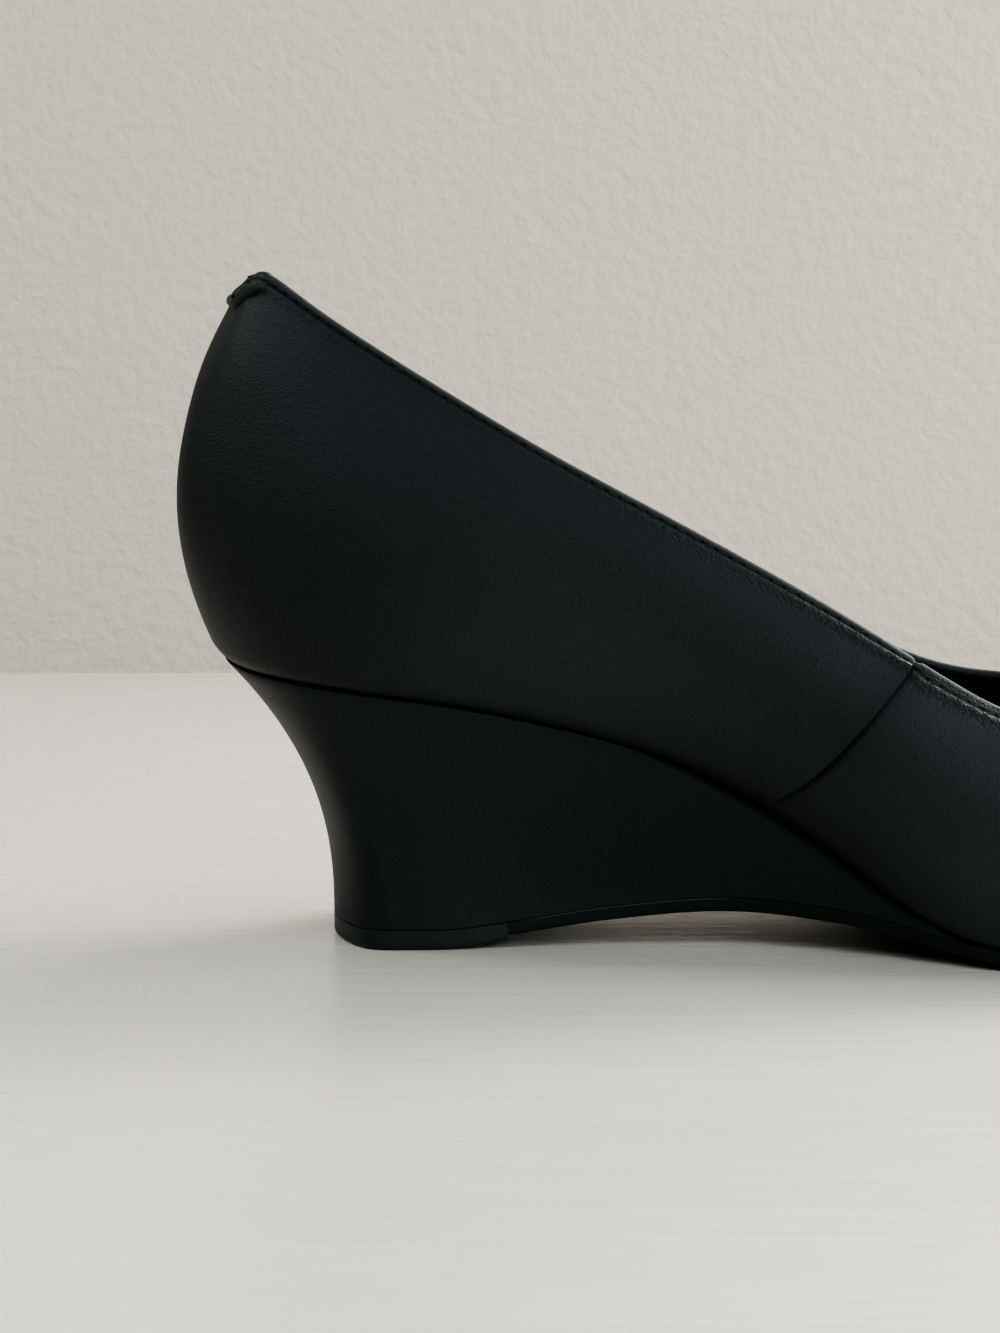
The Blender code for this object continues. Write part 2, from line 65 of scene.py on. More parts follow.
INSOLE_THICKNESS = 0.0020
CLEARANCE = 0.0003

# Stitching, in millimetres, with each stitch's turn in radians.
STITCH_PITCH_MM = 2.25
QUARTER_STITCH_BELOW_MM = 0.40
VAMP_STITCH_BELOW_MM = 1.30
LINING_STITCH_BELOW_MM = 1.0
THREAD_RADIUS_MM = 0.18
CLOSING_PITCH_MM = 1.0
Stitch = namedtuple("Stitch", "length radius rise sink turn")
TOPLINE_STITCH = Stitch(1.70, THREAD_RADIUS_MM, 0.40, -0.20, 0.14)
LINING_STITCH = Stitch(1.70, THREAD_RADIUS_MM, 0.26, -0.24, -0.10)
SEAM_STITCH = Stitch(0.95, 0.15, 0.10, -0.12, 1.05)
SEAM_STITCH_COLUMNS = 9  # how many of the upper's columns they lie in front of the seam

# The side seams run from the topline down and back to the feather line.
SEAM_TOP_X = 0.1093
SEAM_BOTTOM_X = 0.0899
SEAM_BOW = 0.17

TAB_HALF_WIDTH_MM = 14.8

# Camera and backdrop, as the photograph was taken.
CAMERA_PLACE = (0.01684, -0.444, 0.0867)
CAMERA_PITCH = 5.9
CAMERA_LENS = 78.02
WALL_DISTANCE = 0.377

# Plan of the feather line: x as a share of the shoe's length, half widths of the ball width.
Plan = namedtuple("Plan", "x medial lateral")
FEATHER = [
    Plan(0.024, 0.000, 0.000),  # centre back
    Plan(0.034, 0.140, 0.140),  # heel round
    Plan(0.060, 0.245, 0.245),  # heel corner
    Plan(0.108, 0.322, 0.324),  # heel side
    Plan(0.168, 0.346, 0.354),  # seat
    Plan(0.232, 0.334, 0.362),  # rear waist
    Plan(0.296, 0.310, 0.372),  # waist
    Plan(0.352, 0.304, 0.388),  # arch
    Plan(0.404, 0.334, 0.410),  # shank
    Plan(0.448, 0.384, 0.434),  # rear ball
    Plan(0.488, 0.430, 0.452),  # rear tread
    Plan(0.544, 0.476, 0.472),  # tread
    Plan(0.624, 0.510, 0.482),  # ball
    Plan(0.712, 0.512, 0.452),  # front ball
    Plan(0.812, 0.452, 0.382),  # toes
    Plan(0.908, 0.352, 0.268),  # toe round
    Plan(0.972, 0.222, 0.134),  # tip corner
    Plan(1.000, 0.044, -0.044),  # tip
]

# The topline at the same sections. Heights are shares of the way from the throat up to the back.
Topline = namedtuple("Topline", "x medial lateral medial_height lateral_height")
TOPLINE = [
    Topline(0.0366, 0.000, 0.000, 1.003, 1.000),  # centre back
    Topline(0.0438, 0.082, 0.082, 1.016, 1.006),  # heel round
    Topline(0.0528, 0.131, 0.131, 1.050, 1.030),  # heel corner
    Topline(0.0840, 0.206, 0.208, 0.972, 0.944),  # heel side
    Topline(0.1640, 0.286, 0.294, 0.748, 0.718),  # seat
    Topline(0.2280, 0.320, 0.336, 0.582, 0.552),  # rear waist
    Topline(0.2920, 0.342, 0.368, 0.430, 0.400),  # waist
    Topline(0.3500, 0.358, 0.390, 0.290, 0.256),  # arch
    Topline(0.4020, 0.371, 0.402, 0.158, 0.122),  # shank
    Topline(0.4480, 0.379, 0.405, 0.034, 0.016),  # rear ball
    Topline(0.4880, 0.380, 0.398, -0.060, -0.050),  # rear tread
    Topline(0.5360, 0.364, 0.376, -0.112, -0.076),  # tread
    Topline(0.5900, 0.308, 0.316, -0.106, -0.076),  # ball
    Topline(0.6360, 0.235, 0.236, -0.062, -0.050),  # front ball
    Topline(0.6660, 0.152, 0.148, -0.026, -0.022),  # toes
    Topline(0.6815, 0.090, 0.080, -0.008, -0.007),  # toe round
    Topline(0.6868, 0.036, 0.022, -0.001, -0.001),  # tip corner
    Topline(0.6880, 0.008, -0.008, 0.000, 0.000),  # tip
]

# How the wall swells: pushes outwards as shares of the ball width, and how far up from the feather
# line and down from the topline they act, as shares of the section's height.
Swell = namedtuple("Swell", "low_out low_up high_out high_down")
WALL = [
    Swell(0.128, 0.380, 0.117, 0.340),  # centre back
    Swell(0.117, 0.360, 0.111, 0.335),  # heel round
    Swell(0.086, 0.320, 0.095, 0.330),  # heel corner
    Swell(0.070, 0.325, 0.086, 0.335),  # heel side
    Swell(0.062, 0.330, 0.078, 0.350),  # seat
    Swell(0.068, 0.315, 0.070, 0.355),  # rear waist
    Swell(0.080, 0.285, 0.062, 0.350),  # waist
    Swell(0.092, 0.265, 0.060, 0.335),  # arch
    Swell(0.092, 0.270, 0.064, 0.320),  # shank
    Swell(0.080, 0.300, 0.076, 0.305),  # rear ball
    Swell(0.066, 0.350, 0.094, 0.290),  # rear tread
    Swell(0.054, 0.410, 0.120, 0.250),  # tread
    Swell(0.044, 0.450, 0.160, 0.190),  # ball
    Swell(0.038, 0.450, 0.230, 0.140),  # front ball
    Swell(0.034, 0.420, 0.320, 0.125),  # toes
    Swell(0.028, 0.395, 0.430, 0.150),  # toe round
    Swell(0.022, 0.385, 0.505, 0.200),  # tip corner
    Swell(0.019, 0.380, 0.525, 0.235),  # tip
]

# Plan of the wedge's lower edge at the rear sections, and how hard its side curls in.
Base = namedtuple("Base", "x medial lateral curl inset")
BASE = [
    Base(0.0950, 0.000, 0.000, 2.40, 0.0011),  # centre back
    Base(0.0988, 0.102, 0.102, 2.34, 0.0011),  # heel round
    Base(0.1120, 0.200, 0.200, 2.10, 0.0007),  # heel corner
    Base(0.1360, 0.234, 0.234, 1.90, 0.0009),  # heel side
    Base(0.1680, 0.228, 0.232, 1.70, 0.0011),  # seat
    Base(0.2200, 0.200, 0.222, 1.55, 0.0013),  # rear waist
    Base(0.2840, 0.192, 0.240, 1.45, 0.0018),  # waist
    Base(0.3440, 0.214, 0.296, 1.35, 0.0025),  # arch
    Base(0.4010, 0.286, 0.370, 1.25, 0.0023),  # shank
    Base(0.4480, 0.364, 0.420, 1.10, 0.0017),  # rear ball
]
REAR_SECTIONS = len(BASE)

# Height of the foot's seat along the shoe: shares of the heel's rise, and of the toe spring.
Seat = namedtuple("Seat", "x medial lateral toe")
SEAT = [
    Seat(0.024, 1.000, 1.000, 0.0),
    Seat(0.034, 0.972, 0.972, 0.0),
    Seat(0.060, 0.940, 0.940, 0.0),
    Seat(0.108, 0.904, 0.902, 0.0),
    Seat(0.168, 0.860, 0.852, 0.0),
    Seat(0.232, 0.782, 0.764, 0.0),
    Seat(0.296, 0.667, 0.638, 0.0),
    Seat(0.352, 0.502, 0.468, 0.0),
    Seat(0.378, 0.404, 0.372, 0.0),
    Seat(0.404, 0.290, 0.266, 0.0),
    Seat(0.428, 0.180, 0.166, 0.0),
    Seat(0.448, 0.104, 0.098, 0.0),
    Seat(0.466, 0.056, 0.054, 0.0),
    Seat(0.488, 0.022, 0.022, 0.0),
    Seat(0.544, 0.000, 0.000, 0.0),
    Seat(0.660, 0.000, 0.000, 0.0),
    Seat(0.760, 0.000, 0.000, 0.14),
    Seat(0.880, 0.000, 0.000, 0.50),
    Seat(1.000, 0.000, 0.000, 1.00),
]

# Height of the wedge's underside: shares of the step on to the heel tip, the arch and the toe spring.
Underside = namedtuple("Underside", "x step arch toe")
UNDERSIDE = [
    Underside(0.094, 1.0, 0.00, 0.0),
    Underside(0.164, 1.0, 0.00, 0.0),
    Underside(0.202, 0.6, 0.22, 0.0),
    Underside(0.260, 0.0, 0.70, 0.0),
    Underside(0.344, 0.0, 1.00, 0.0),
    Underside(0.400, 0.0, 0.86, 0.0),
    Underside(0.448, 0.0, 0.48, 0.0),
    Underside(0.488, 0.0, 0.17, 0.0),
    Underside(0.544, 0.0, 0.00, 0.0),
    Underside(0.660, 0.0, 0.00, 0.0),
    Underside(0.760, 0.0, 0.00, 0.14),
    Underside(0.880, 0.0, 0.00, 0.50),
    Underside(1.000, 0.0, 0.00, 1.00),
]

# Soft troughs and ridges in the leather: where they lie on a side, which way they run (degrees up
# from the shoe's length), how long and wide they are and how deep, all but the angle in millimetres.
Trough = namedtuple("Trough", "side x height angle length width depth")
TROUGHS = [
    Trough("back", 9.0, 88.0, 0, 12.0, 8.0, -0.45),
    Trough("medial", 62.0, 56.0, -28, 17.0, 6.0, 0.30),
    Trough("medial", 84.0, 41.0, -35, 11.0, 4.5, 0.22),
    Trough("medial", 40.0, 47.0, -8, 16.0, 5.0, -0.16),
    Trough("medial", 97.0, 27.0, 42, 9.0, 3.0, 0.14),
    Trough("medial", 128.0, 24.0, 58, 10.0, 3.2, 0.20),
    Trough("medial", 143.0, 22.0, 66, 9.0, 2.8, 0.16),
    Trough("lateral", 58.0, 55.0, -24, 18.0, 6.0, 0.28),
    Trough("lateral", 82.0, 38.0, -30, 12.0, 5.0, 0.24),
    Trough("lateral", 130.0, 22.0, 60, 10.0, 3.0, 0.22),
    Trough("lateral", 145.0, 20.0, 68, 9.0, 2.6, 0.18),
]

SOLE_TOP = OUTSOLE_THICKNESS + CLEARANCE
TIP_TOP = TIP_THICKNESS + CLEARANCE
BACK_TOP = HEEL_HEIGHT + BACK_HEIGHT
TIP_BACK = BASE[0].x * SHOE_LENGTH
TIP_FRONT = TIP_BACK + TIP_LENGTH
TIP_FLAT_END = TIP_BACK + TIP_LENGTH * 0.66
ORIGIN_X = (TIP_BACK + TIP_FLAT_END) / 2
WEDGE_FRONT = FEATHER[0].x * SHOE_LENGTH + WEDGE_LENGTH
MM = 0.001


def steady_curve(xs, ys, at):
    """A smooth curve through the rows that never overshoots them, so level stretches stay level."""
    xs, ys = np.asarray(xs, float), np.asarray(ys, float)
    step = np.diff(xs)
    rise = np.diff(ys) / step
    slope = np.zeros(len(xs))
    slope[0], slope[-1] = rise[0], rise[-1]
    same_way = rise[:-1] * rise[1:] > 0
    before = 2 * step[1:] + step[:-1]
    after = step[1:] + 2 * step[:-1]
    safe = np.where(same_way, rise[:-1], 1), np.where(same_way, rise[1:], 1)
    mean = (before + after) / (before / safe[0] + after / safe[1])
    slope[1:-1] = np.where(same_way, mean, 0)
    at = np.clip(at, xs[0], xs[-1])
    i = np.clip(np.searchsorted(xs, at, side="right") - 1, 0, len(step) - 1)
    t = (at - xs[i]) / step[i]
    keep = (1 + 2 * t) * (1 - t) ** 2
    return (
        keep * ys[i]
        + (1 - keep) * ys[i + 1]
        + t * (1 - t) ** 2 * step[i] * slope[i]
        + t * t * (t - 1) * step[i] * slope[i + 1]
    )


def closed_spline(knots, rows, period, at):
    """The closed cubic spline through the rows, one column for each quantity."""
    count = len(knots)
    step = np.append(np.diff(knots), period - knots[-1] + knots[0])
    rise = (np.roll(rows, -1, axis=0) - rows) / step[:, None]
    matrix = np.zeros((count, count))
    for i in range(count):
        matrix[i, i - 1] += step[i - 1] / 6
        matrix[i, i] += (step[i - 1] + step[i]) / 3
        matrix[i, (i + 1) % count] += step[i] / 6
    bend = np.linalg.solve(matrix, rise - np.roll(rise, 1, axis=0))
    at = np.mod(np.asarray(at, float) - knots[0], period) + knots[0]
    i = np.clip(np.searchsorted(knots, at, side="right") - 1, 0, count - 1)
    j = (i + 1) % count
    b = ((at - knots[i]) / step[i])[:, None]
    a = 1 - b
    h = (step[i] ** 2 / 6)[:, None]
    return a * rows[i] + b * rows[j] + h * ((a**3 - a) * bend[i] + (b**3 - b) * bend[j])


def both_sides(medial, lateral):
    """Rows from the back along the medial side to the tip, then home along the lateral side."""
    return np.array(medial + lateral[-2:0:-1], float)


def plan_rows(table):
    medial = [(r.x * SHOE_LENGTH, -r.medial * BALL_WIDTH) for r in table]
    lateral = [(r.x * SHOE_LENGTH, r.lateral * BALL_WIDTH) for r in table]
    return both_sides(medial, lateral)


def seat_height(x, y):
    """Height of the surface that the upper and the sock are built on."""
    share = x / SHOE_LENGTH
    xs = [r.x for r in SEAT]
    medial = steady_curve(xs, [r.medial for r in SEAT], share)
    lateral = steady_curve(xs, [r.lateral for r in SEAT], share)
    rise = medial + (lateral - medial) * (y / BALL_WIDTH + 0.5)
    toe = steady_curve(xs, [r.toe for r in SEAT], share)
    return SOLE_TOP + rise * (HEEL_HEIGHT - SOLE_TOP) + toe * TOE_SPRING


def underside_height(x):
    """Height of the wedge's underside, and of the feather line in front of the wedge."""
    share = x / SHOE_LENGTH
    xs = [r.x for r in UNDERSIDE]
    names = ("step", "arch", "toe")
    step, arch, toe = (steady_curve(xs, [getattr(r, n) for r in UNDERSIDE], share) for n in names)
    return SOLE_TOP + step * (TIP_TOP - SOLE_TOP) + arch * ARCH_LIFT + toe * TOE_SPRING


def section_knots():
    """Where the sections lie along the loops, and the loops' full length."""
    steps = np.zeros(len(FEATHER) - 1)
    for table in (FEATHER, TOPLINE):
        for side in ("medial", "lateral"):
            xs = np.array([r.x * SHOE_LENGTH for r in table])
            ys = np.array([getattr(r, side) * BALL_WIDTH for r in table])
            steps += np.hypot(np.diff(xs), np.diff(ys))
    along = np.append(0, np.cumsum(steps))
    period = 2 * along[-1]
    return np.append(along, period - along[-2:0:-1]), period


KNOTS, PERIOD = section_knots()
FEATHER_ROWS = plan_rows(FEATHER)
TOPLINE_ROWS = plan_rows(TOPLINE)
BASE_ROWS = plan_rows([Plan(r.x, r.medial, r.lateral) for r in BASE] + FEATHER[REAR_SECTIONS:])
TOPLINE_HEIGHTS = both_sides(
    [(r.medial_height,) for r in TOPLINE], [(r.lateral_height,) for r in TOPLINE]
)
WALL_ROWS = both_sides([tuple(r) for r in WALL], [tuple(r) for r in WALL])


def on_loop(rows, at):
    return closed_spline(KNOTS, rows, PERIOD, at)


def outward(rows, at):
    """Unit vectors that point out of a plan loop, in the floor's plane."""
    ahead = on_loop(rows, at + PERIOD * 1e-4) - on_loop(rows, at - PERIOD * 1e-4)
    normal = np.stack([ahead[:, 1], -ahead[:, 0]], axis=1)
    return normal / np.linalg.norm(normal, axis=1)[:, None]


def feather_line(at, inset=0.0):
    """Points of the feather line, moved in along the seat by the inset."""
    plan = on_loop(FEATHER_ROWS, at) - outward(FEATHER_ROWS, at) * np.reshape(inset, (-1, 1))
    return np.column_stack([plan, seat_height(plan[:, 0], plan[:, 1])])


def topline(at):
    """The outer edge of the opening, half a wall below the rounded lip's crest."""
    share = on_loop(TOPLINE_HEIGHTS, at)[:, 0]
    height = THROAT_HEIGHT + share * (BACK_TOP - THROAT_HEIGHT) - WALL_THICKNESS / 2
    return np.column_stack([on_loop(TOPLINE_ROWS, at), height])


def base_line(at, inset=0.0):
    plan = on_loop(BASE_ROWS, at) - outward(BASE_ROWS, at) * inset
    return np.column_stack([plan, underside_height(plan[:, 0])])


def off_seat(points, distance):
    """Points moved off the seat's surface along its normal, up for a positive distance."""
    reach = SHOE_LENGTH * 1e-3
    x, y = points[:, 0], points[:, 1]
    slope = (seat_height(x + reach, y) - seat_height(x - reach, y)) / (2 * reach)
    normal = np.stack([-slope, np.zeros(len(x)), np.ones(len(x))], axis=1)
    normal /= np.linalg.norm(normal, axis=1)[:, None]
    return points + np.reshape(distance, (-1, 1)) * normal


def wall_curve(at):
    """The four points that draw each section's wall, from the feather line to the topline."""
    feather, top = feather_line(at), topline(at)
    low_out, low_up, high_out, high_down = on_loop(WALL_ROWS, at).T
    height = (top - feather)[:, 2]
    low = feather.copy()
    low[:, :2] += outward(FEATHER_ROWS, at) * (low_out * BALL_WIDTH)[:, None]
    low[:, 2] += low_up * height
    high = top.copy()
    high[:, :2] += outward(TOPLINE_ROWS, at) * (high_out * BALL_WIDTH)[:, None]
    high[:, 2] -= high_down * height
    return feather, low, high, top


def on_wall(at, t):
    feather, low, high, top = wall_curve(at)
    t = np.reshape(t, (-1, 1))
    u = 1 - t
    return u**3 * feather + 3 * t * u * u * low + 3 * t * t * u * high + t**3 * top


def wall_start(at, radius):
    """The share of the wall's curve at which it leaves the rounding at the feather line."""
    feather, low, _, _ = wall_curve(at)
    return radius / np.linalg.norm(3 * (low - feather), axis=1)


def wall_end_speed(at):
    _, _, high, top = wall_curve(at)
    return np.linalg.norm(3 * (top - high), axis=1)


def smooth_step(low, high, value):
    share = np.clip((value - low) / (high - low), 0, 1)
    return share * share * (3 - 2 * share)


def plateau(rise_from, rise_to, fall_from, fall_to, value):
    """1 between the middle two limits, easing to 0 at the outer two."""
    return smooth_step(rise_from, rise_to, value) * (1 - smooth_step(fall_from, fall_to, value))


def place_at(rows, x):
    """Where a loop passes a given x on its medial side."""
    at = np.linspace(0, PERIOD / 2, 2001)
    return float(np.interp(x, on_loop(rows, at)[:, 0], at))


def spaced(length, spacing):
    """Places from 0 to length whose steps follow the spacing function."""
    fine = np.linspace(0, length, 6001)
    run = np.append(0, np.cumsum(np.diff(fine) / spacing((fine[1:] + fine[:-1]) / 2)))
    return np.interp(np.linspace(0, run[-1], int(round(run[-1])) + 1), run, fine)


def grid_normals(grid, closed=True):
    """Unit normals of a grid, which may close on itself along its first axis."""
    if closed:
        along = np.roll(grid, -1, axis=0) - np.roll(grid, 1, axis=0)
    else:
        along = np.gradient(grid, axis=0)
    normal = np.cross(along, np.gradient(grid, axis=1))
    return normal / np.maximum(np.linalg.norm(normal, axis=2), 1e-12)[:, :, None]


def skin_faces(rows, columns, rows_close=False, columns_close=False):
    """Quads over a grid of points that are numbered row by row, as an array."""
    r = np.arange(rows if rows_close else rows - 1)[:, None]
    c = np.arange(columns if columns_close else columns - 1)[None, :]
    s, d = (r + 1) % rows, (c + 1) % columns
    quads = np.stack([r * columns + c, r * columns + d, s * columns + d, s * columns + c], axis=2)
    return quads.reshape(-1, 4)


def link_object(name, data):
    thing = bpy.data.objects.new(name, data)
    bpy.context.scene.collection.objects.link(thing)
    return thing


def new_piece(name, points, faces, finishes, face_finish=None, uv=None, values=None):
    """A smooth shaded piece from points in shoe coordinates. uv and values are per point."""
    mesh = bpy.data.meshes.new(name)
    placed = np.asarray(points, float) - (ORIGIN_X, 0, 0)
    mesh.from_pydata(placed.tolist(), [], [tuple(int(k) for k in f) for f in faces])
    for finish in finishes:
        mesh.materials.append(finish)
    if face_finish is not None:
        mesh.polygons.foreach_set("material_index", np.asarray(face_finish, dtype=np.int32))
    for label, numbers in (values or {}).items():
        layer = mesh.attributes.new(label, "FLOAT", "POINT")
        layer.data.foreach_set("value", np.asarray(numbers, dtype=np.float32).ravel())
    work = bmesh.new()
    work.from_mesh(mesh)
    bmesh.ops.recalc_face_normals(work, faces=work.faces)
    work.to_mesh(mesh)
    work.free()
    if uv is not None:
        layer = mesh.uv_layers.new(name="stitching")
        corners = np.empty(len(mesh.loops), dtype=np.int32)
        mesh.loops.foreach_get("vertex_index", corners)
        layer.data.foreach_set("uv", np.asarray(uv, dtype=np.float32)[corners].ravel())
    mesh.shade_smooth()
    return link_object(name, mesh)


def belongs(piece, slot, *nodes):
    """The piece rides on the shoe and stands for the nodes, whose solids it hides. slot is not used.
    """
    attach(piece, "root")
    if nodes:
        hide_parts(*nodes)


# Node trees


def feed(tree, socket, source):
    """Sets a socket's number, or links another node's output to it."""
    if isinstance(source, bpy.types.NodeSocket):
        tree.links.new(source, socket)
    else:
        socket.default_value = source


def add_node(tree, kind, sources=None, **settings):
    """A new node with its settings made and its inputs fed, by name or by number."""
    node = tree.nodes.new(kind)
    for key, value in settings.items():
        setattr(node, key, value)
    for key, source in (sources or {}).items():
        feed(tree, node.inputs[key], source)
    return node


def compute(tree, operation, *sources):
    return add_node(tree, "ShaderNodeMath", dict(enumerate(sources)), operation=operation).outputs[0]


def multiply(tree, first, second):
    return compute(tree, "MULTIPLY", first, second)


def add(tree, first, second):
    return compute(tree, "ADD", first, second)


def subtract(tree, first, second):
    return compute(tree, "SUBTRACT", first, second)


def remap(tree, value, low, high, new_low=0.0, new_high=1.0, curve="SMOOTHSTEP"):
    sources = dict(enumerate((value, low, high, new_low, new_high)))
    return add_node(tree, "ShaderNodeMapRange", sources, interpolation_type=curve).outputs[0]


def noise(tree, place, scale, detail, roughness=0.5, dimensions="3D"):
    sources = {"Vector": place, "Scale": scale, "Detail": detail, "Roughness": roughness}
    return add_node(tree, "ShaderNodeTexNoise", sources, noise_dimensions=dimensions).outputs


def cell_distance(tree, place, scale, feature):
    sources = {"Vector": place, "Scale": scale}
    return add_node(tree, "ShaderNodeTexVoronoi", sources, feature=feature).outputs["Distance"]


def attribute(tree, name):
    return add_node(tree, "ShaderNodeAttribute", attribute_name=name).outputs["Fac"]


def split(tree, vector):
    return add_node(tree, "ShaderNodeSeparateXYZ", {0: vector}).outputs


def join(tree, **parts):
    return add_node(tree, "ShaderNodeCombineXYZ", parts).outputs[0]


def in_steps(tree, place, size):
    """A place counted in steps of a size, so that a pattern of unit cells gets cells of that size."""
    sources = {0: place, "Scale": compute(tree, "DIVIDE", 1.0, size)}
    return add_node(tree, "ShaderNodeVectorMath", sources, operation="SCALE").outputs[0]


def use_group(tree, group, **sources):
    return add_node(tree, "ShaderNodeGroup", sources, node_tree=group).outputs


def blend_colour(tree, share, first, second):
    ends = [c if isinstance(c, bpy.types.NodeSocket) else (*c, 1.0) for c in (first, second)]
    sources = {"Factor": share, 6: ends[0], 7: ends[1]}
    return add_node(tree, "ShaderNodeMix", sources, data_type="RGBA").outputs[2]


# Patterns that more than one finish uses


def new_group(name, inputs, outputs):
    """A shader group with named float inputs, vector ones for None, and named float outputs."""
    group = bpy.data.node_groups.new(name, "ShaderNodeTree")
    for label, default in inputs.items():
        kind = "NodeSocketVector" if default is None else "NodeSocketFloat"
        socket = group.interface.new_socket(label, in_out="INPUT", socket_type=kind)
        if default is not None:
            socket.default_value = default
    for label in outputs:
        group.interface.new_socket(label, in_out="OUTPUT", socket_type="NodeSocketFloat")
    start, end = add_node(group, "NodeGroupInput"), add_node(group, "NodeGroupOutput")
    return group, start.outputs, end.inputs


def leather_grain_group():
    """Fine pebbled grain: rounded cells between narrow creases, with small pores."""
    inputs = {"Place": None, "Cell": 0.0005, "Crease": 0.35, "Pores": 0.25}
    group, start, end = new_group("leather_grain", inputs, ["Height", "Tone"])
    place = in_steps(group, start["Place"], start["Cell"])
    drift = noise(group, place, 0.55, 2.0)
    sources = {0: drift["Color"], 1: (1.1, 1.1, 1.1), 2: place}
    bent = add_node(group, "ShaderNodeVectorMath", sources, operation="MULTIPLY_ADD").outputs[0]
    to_crease = cell_distance(group, bent, 1.0, "DISTANCE_TO_EDGE")
    pebble = remap(group, to_crease, 0.0, start["Crease"])
    pore = remap(group, cell_distance(group, bent, 2.3, "F1"), 0.0, 0.32, 1.0, 0.0)
    pore = multiply(group, pore, start["Pores"])
    swell = remap(group, drift["Fac"], 0.3, 0.7, 0.0, 0.5)
    feed(group, end["Height"], subtract(group, add(group, pebble, swell), pore))
    feed(group, end["Tone"], pebble)
    return group


def slow_change_group():
    """Broad uneven patches, for colour and gloss that are never quite the same all over."""
    group, start, end = new_group("slow_change", {"Place": None, "Patch": 0.03}, ["Change"])
    broad = noise(group, in_steps(group, start["Place"], start["Patch"]), 1.0, 4.0, 0.55)["Fac"]
    feed(group, end["Change"], remap(group, broad, 0.25, 0.75, -1.0, 1.0, "LINEAR"))
    return group


def stitch_marks_group():
    """From the stitch number and the mm below the row: needle holes, the pucker and fine folds."""
    inputs = {"Stitch": 0.0, "Across": 9.0, "Pitch": STITCH_PITCH_MM}
    group, start, end = new_group("stitch_marks", inputs, ["Hole", "Pucker", "Crinkle"])
    stitch, across = start["Stitch"], start["Across"]
    turn = compute(group, "FRACT", add(group, stitch, 1000.5))
    along = multiply(group, subtract(group, turn, 0.5), start["Pitch"])
    away = add(group, multiply(group, along, along), multiply(group, across, across))
    feed(group, end["Hole"], remap(group, compute(group, "SQRT", away), 0.18, 0.38, 1.0, 0.0))

    wave = compute(group, "COSINE", multiply(group, stitch, math.tau))
    pucker = multiply(group, multiply(group, wave, -1.0), remap(group, across, 0.1, 0.5))
    feed(group, end["Pucker"], multiply(group, pucker, remap(group, across, 0.7, 2.2, 1.0, 0.0)))

    place = join(group, X=multiply(group, stitch, 3.4), Y=multiply(group, across, 1.9))
    folds = remap(group, noise(group, place, 1.0, 2.5, dimensions="2D")["Fac"], 0.35, 0.65, -1.0, 1.0)
    away = compute(group, "ABSOLUTE", across)
    near = multiply(group, remap(group, away, 0.25, 0.65), remap(group, away, 1.4, 3.4, 1.0, 0.0))
    feed(group, end["Crinkle"], multiply(group, folds, near))
    return group


def edge_dust_group():
    """Fine dust that fades out above a given height, broken up by small noise."""
    inputs = {"Place": None, "Height": 0.003, "Fade": 0.002, "Speck": 0.0008}
    group, start, end = new_group("edge_dust", inputs, ["Dust"])
    over = subtract(group, split(group, start["Place"])["Z"], start["Height"])
    low = remap(group, compute(group, "DIVIDE", over, start["Fade"]), 0.0, 1.0, 1.0, 0.0)
    specks = noise(group, in_steps(group, start["Place"], start["Speck"]), 1.0, 5.0)["Fac"]
    feed(group, end["Dust"], multiply(group, low, remap(group, specks, 0.48, 0.72)))
    return group


GRAIN = leather_grain_group()
SLOW = slow_change_group()
MARKS = stitch_marks_group()
DUST = edge_dust_group()


# Finishes

COOL_SHEEN = (0.80, 0.96, 1.0, 1.0)
# Painted light: a colour that lightens the upper low down and at the vamp, for light reflected up
# from the floor.
PAINTED_FLOOR_LIGHT_COLOUR = (0.0125, 0.0142, 0.0144)
# Painted shade for the needle holes and along the side seams.
HOLE_AND_SEAM_SHADE_COLOUR = (0.0015, 0.0015, 0.0016)
# Painted reflection: a lighter, warmer colour for the wall that the turned lip mirrors.
LIP_REFLECTION_COLOUR = (0.025, 0.0255, 0.0225)
# Painted shade for the wedge's top where it goes in under the upper.
PAINTED_TUCK_SHADE_COLOUR = (0.0008, 0.0008, 0.0009)
# Painted highlight for a stretch of the sole's top edge.
PAINTED_EDGE_HIGHLIGHT_COLOUR = (0.085, 0.088, 0.088)
DUST_COLOUR = (0.055, 0.052, 0.047)
DUST_HEIGHT = 0.0004
CREASE_SHADE = 0.72


def start_finish(name, **sockets):
    """A material with its Principled shader, whose constant sockets are set here."""
    finish = bpy.data.materials.new(name)
    finish.use_nodes = True
    tree = finish.node_tree
    shader = tree.nodes["Principled BSDF"]
    for label, value in sockets.items():
        shader.inputs[label.replace("_", " ")].default_value = value
    place = add_node(tree, "ShaderNodeTexCoord").outputs["Object"]
    return finish, tree, shader, place


def complete(tree, shader, colour, rough, height, depth):
    """Gives a shader its colour, its roughness and a relief that is the given depth deep."""
    bump = add_node(tree, "ShaderNodeBump", {"Strength": 1.0, "Distance": depth, "Height": height})
    feed(tree, shader.inputs["Base Color"], colour)
    feed(tree, shader.inputs["Roughness"], rough)
    feed(tree, shader.inputs["Normal"], bump.outputs["Normal"])


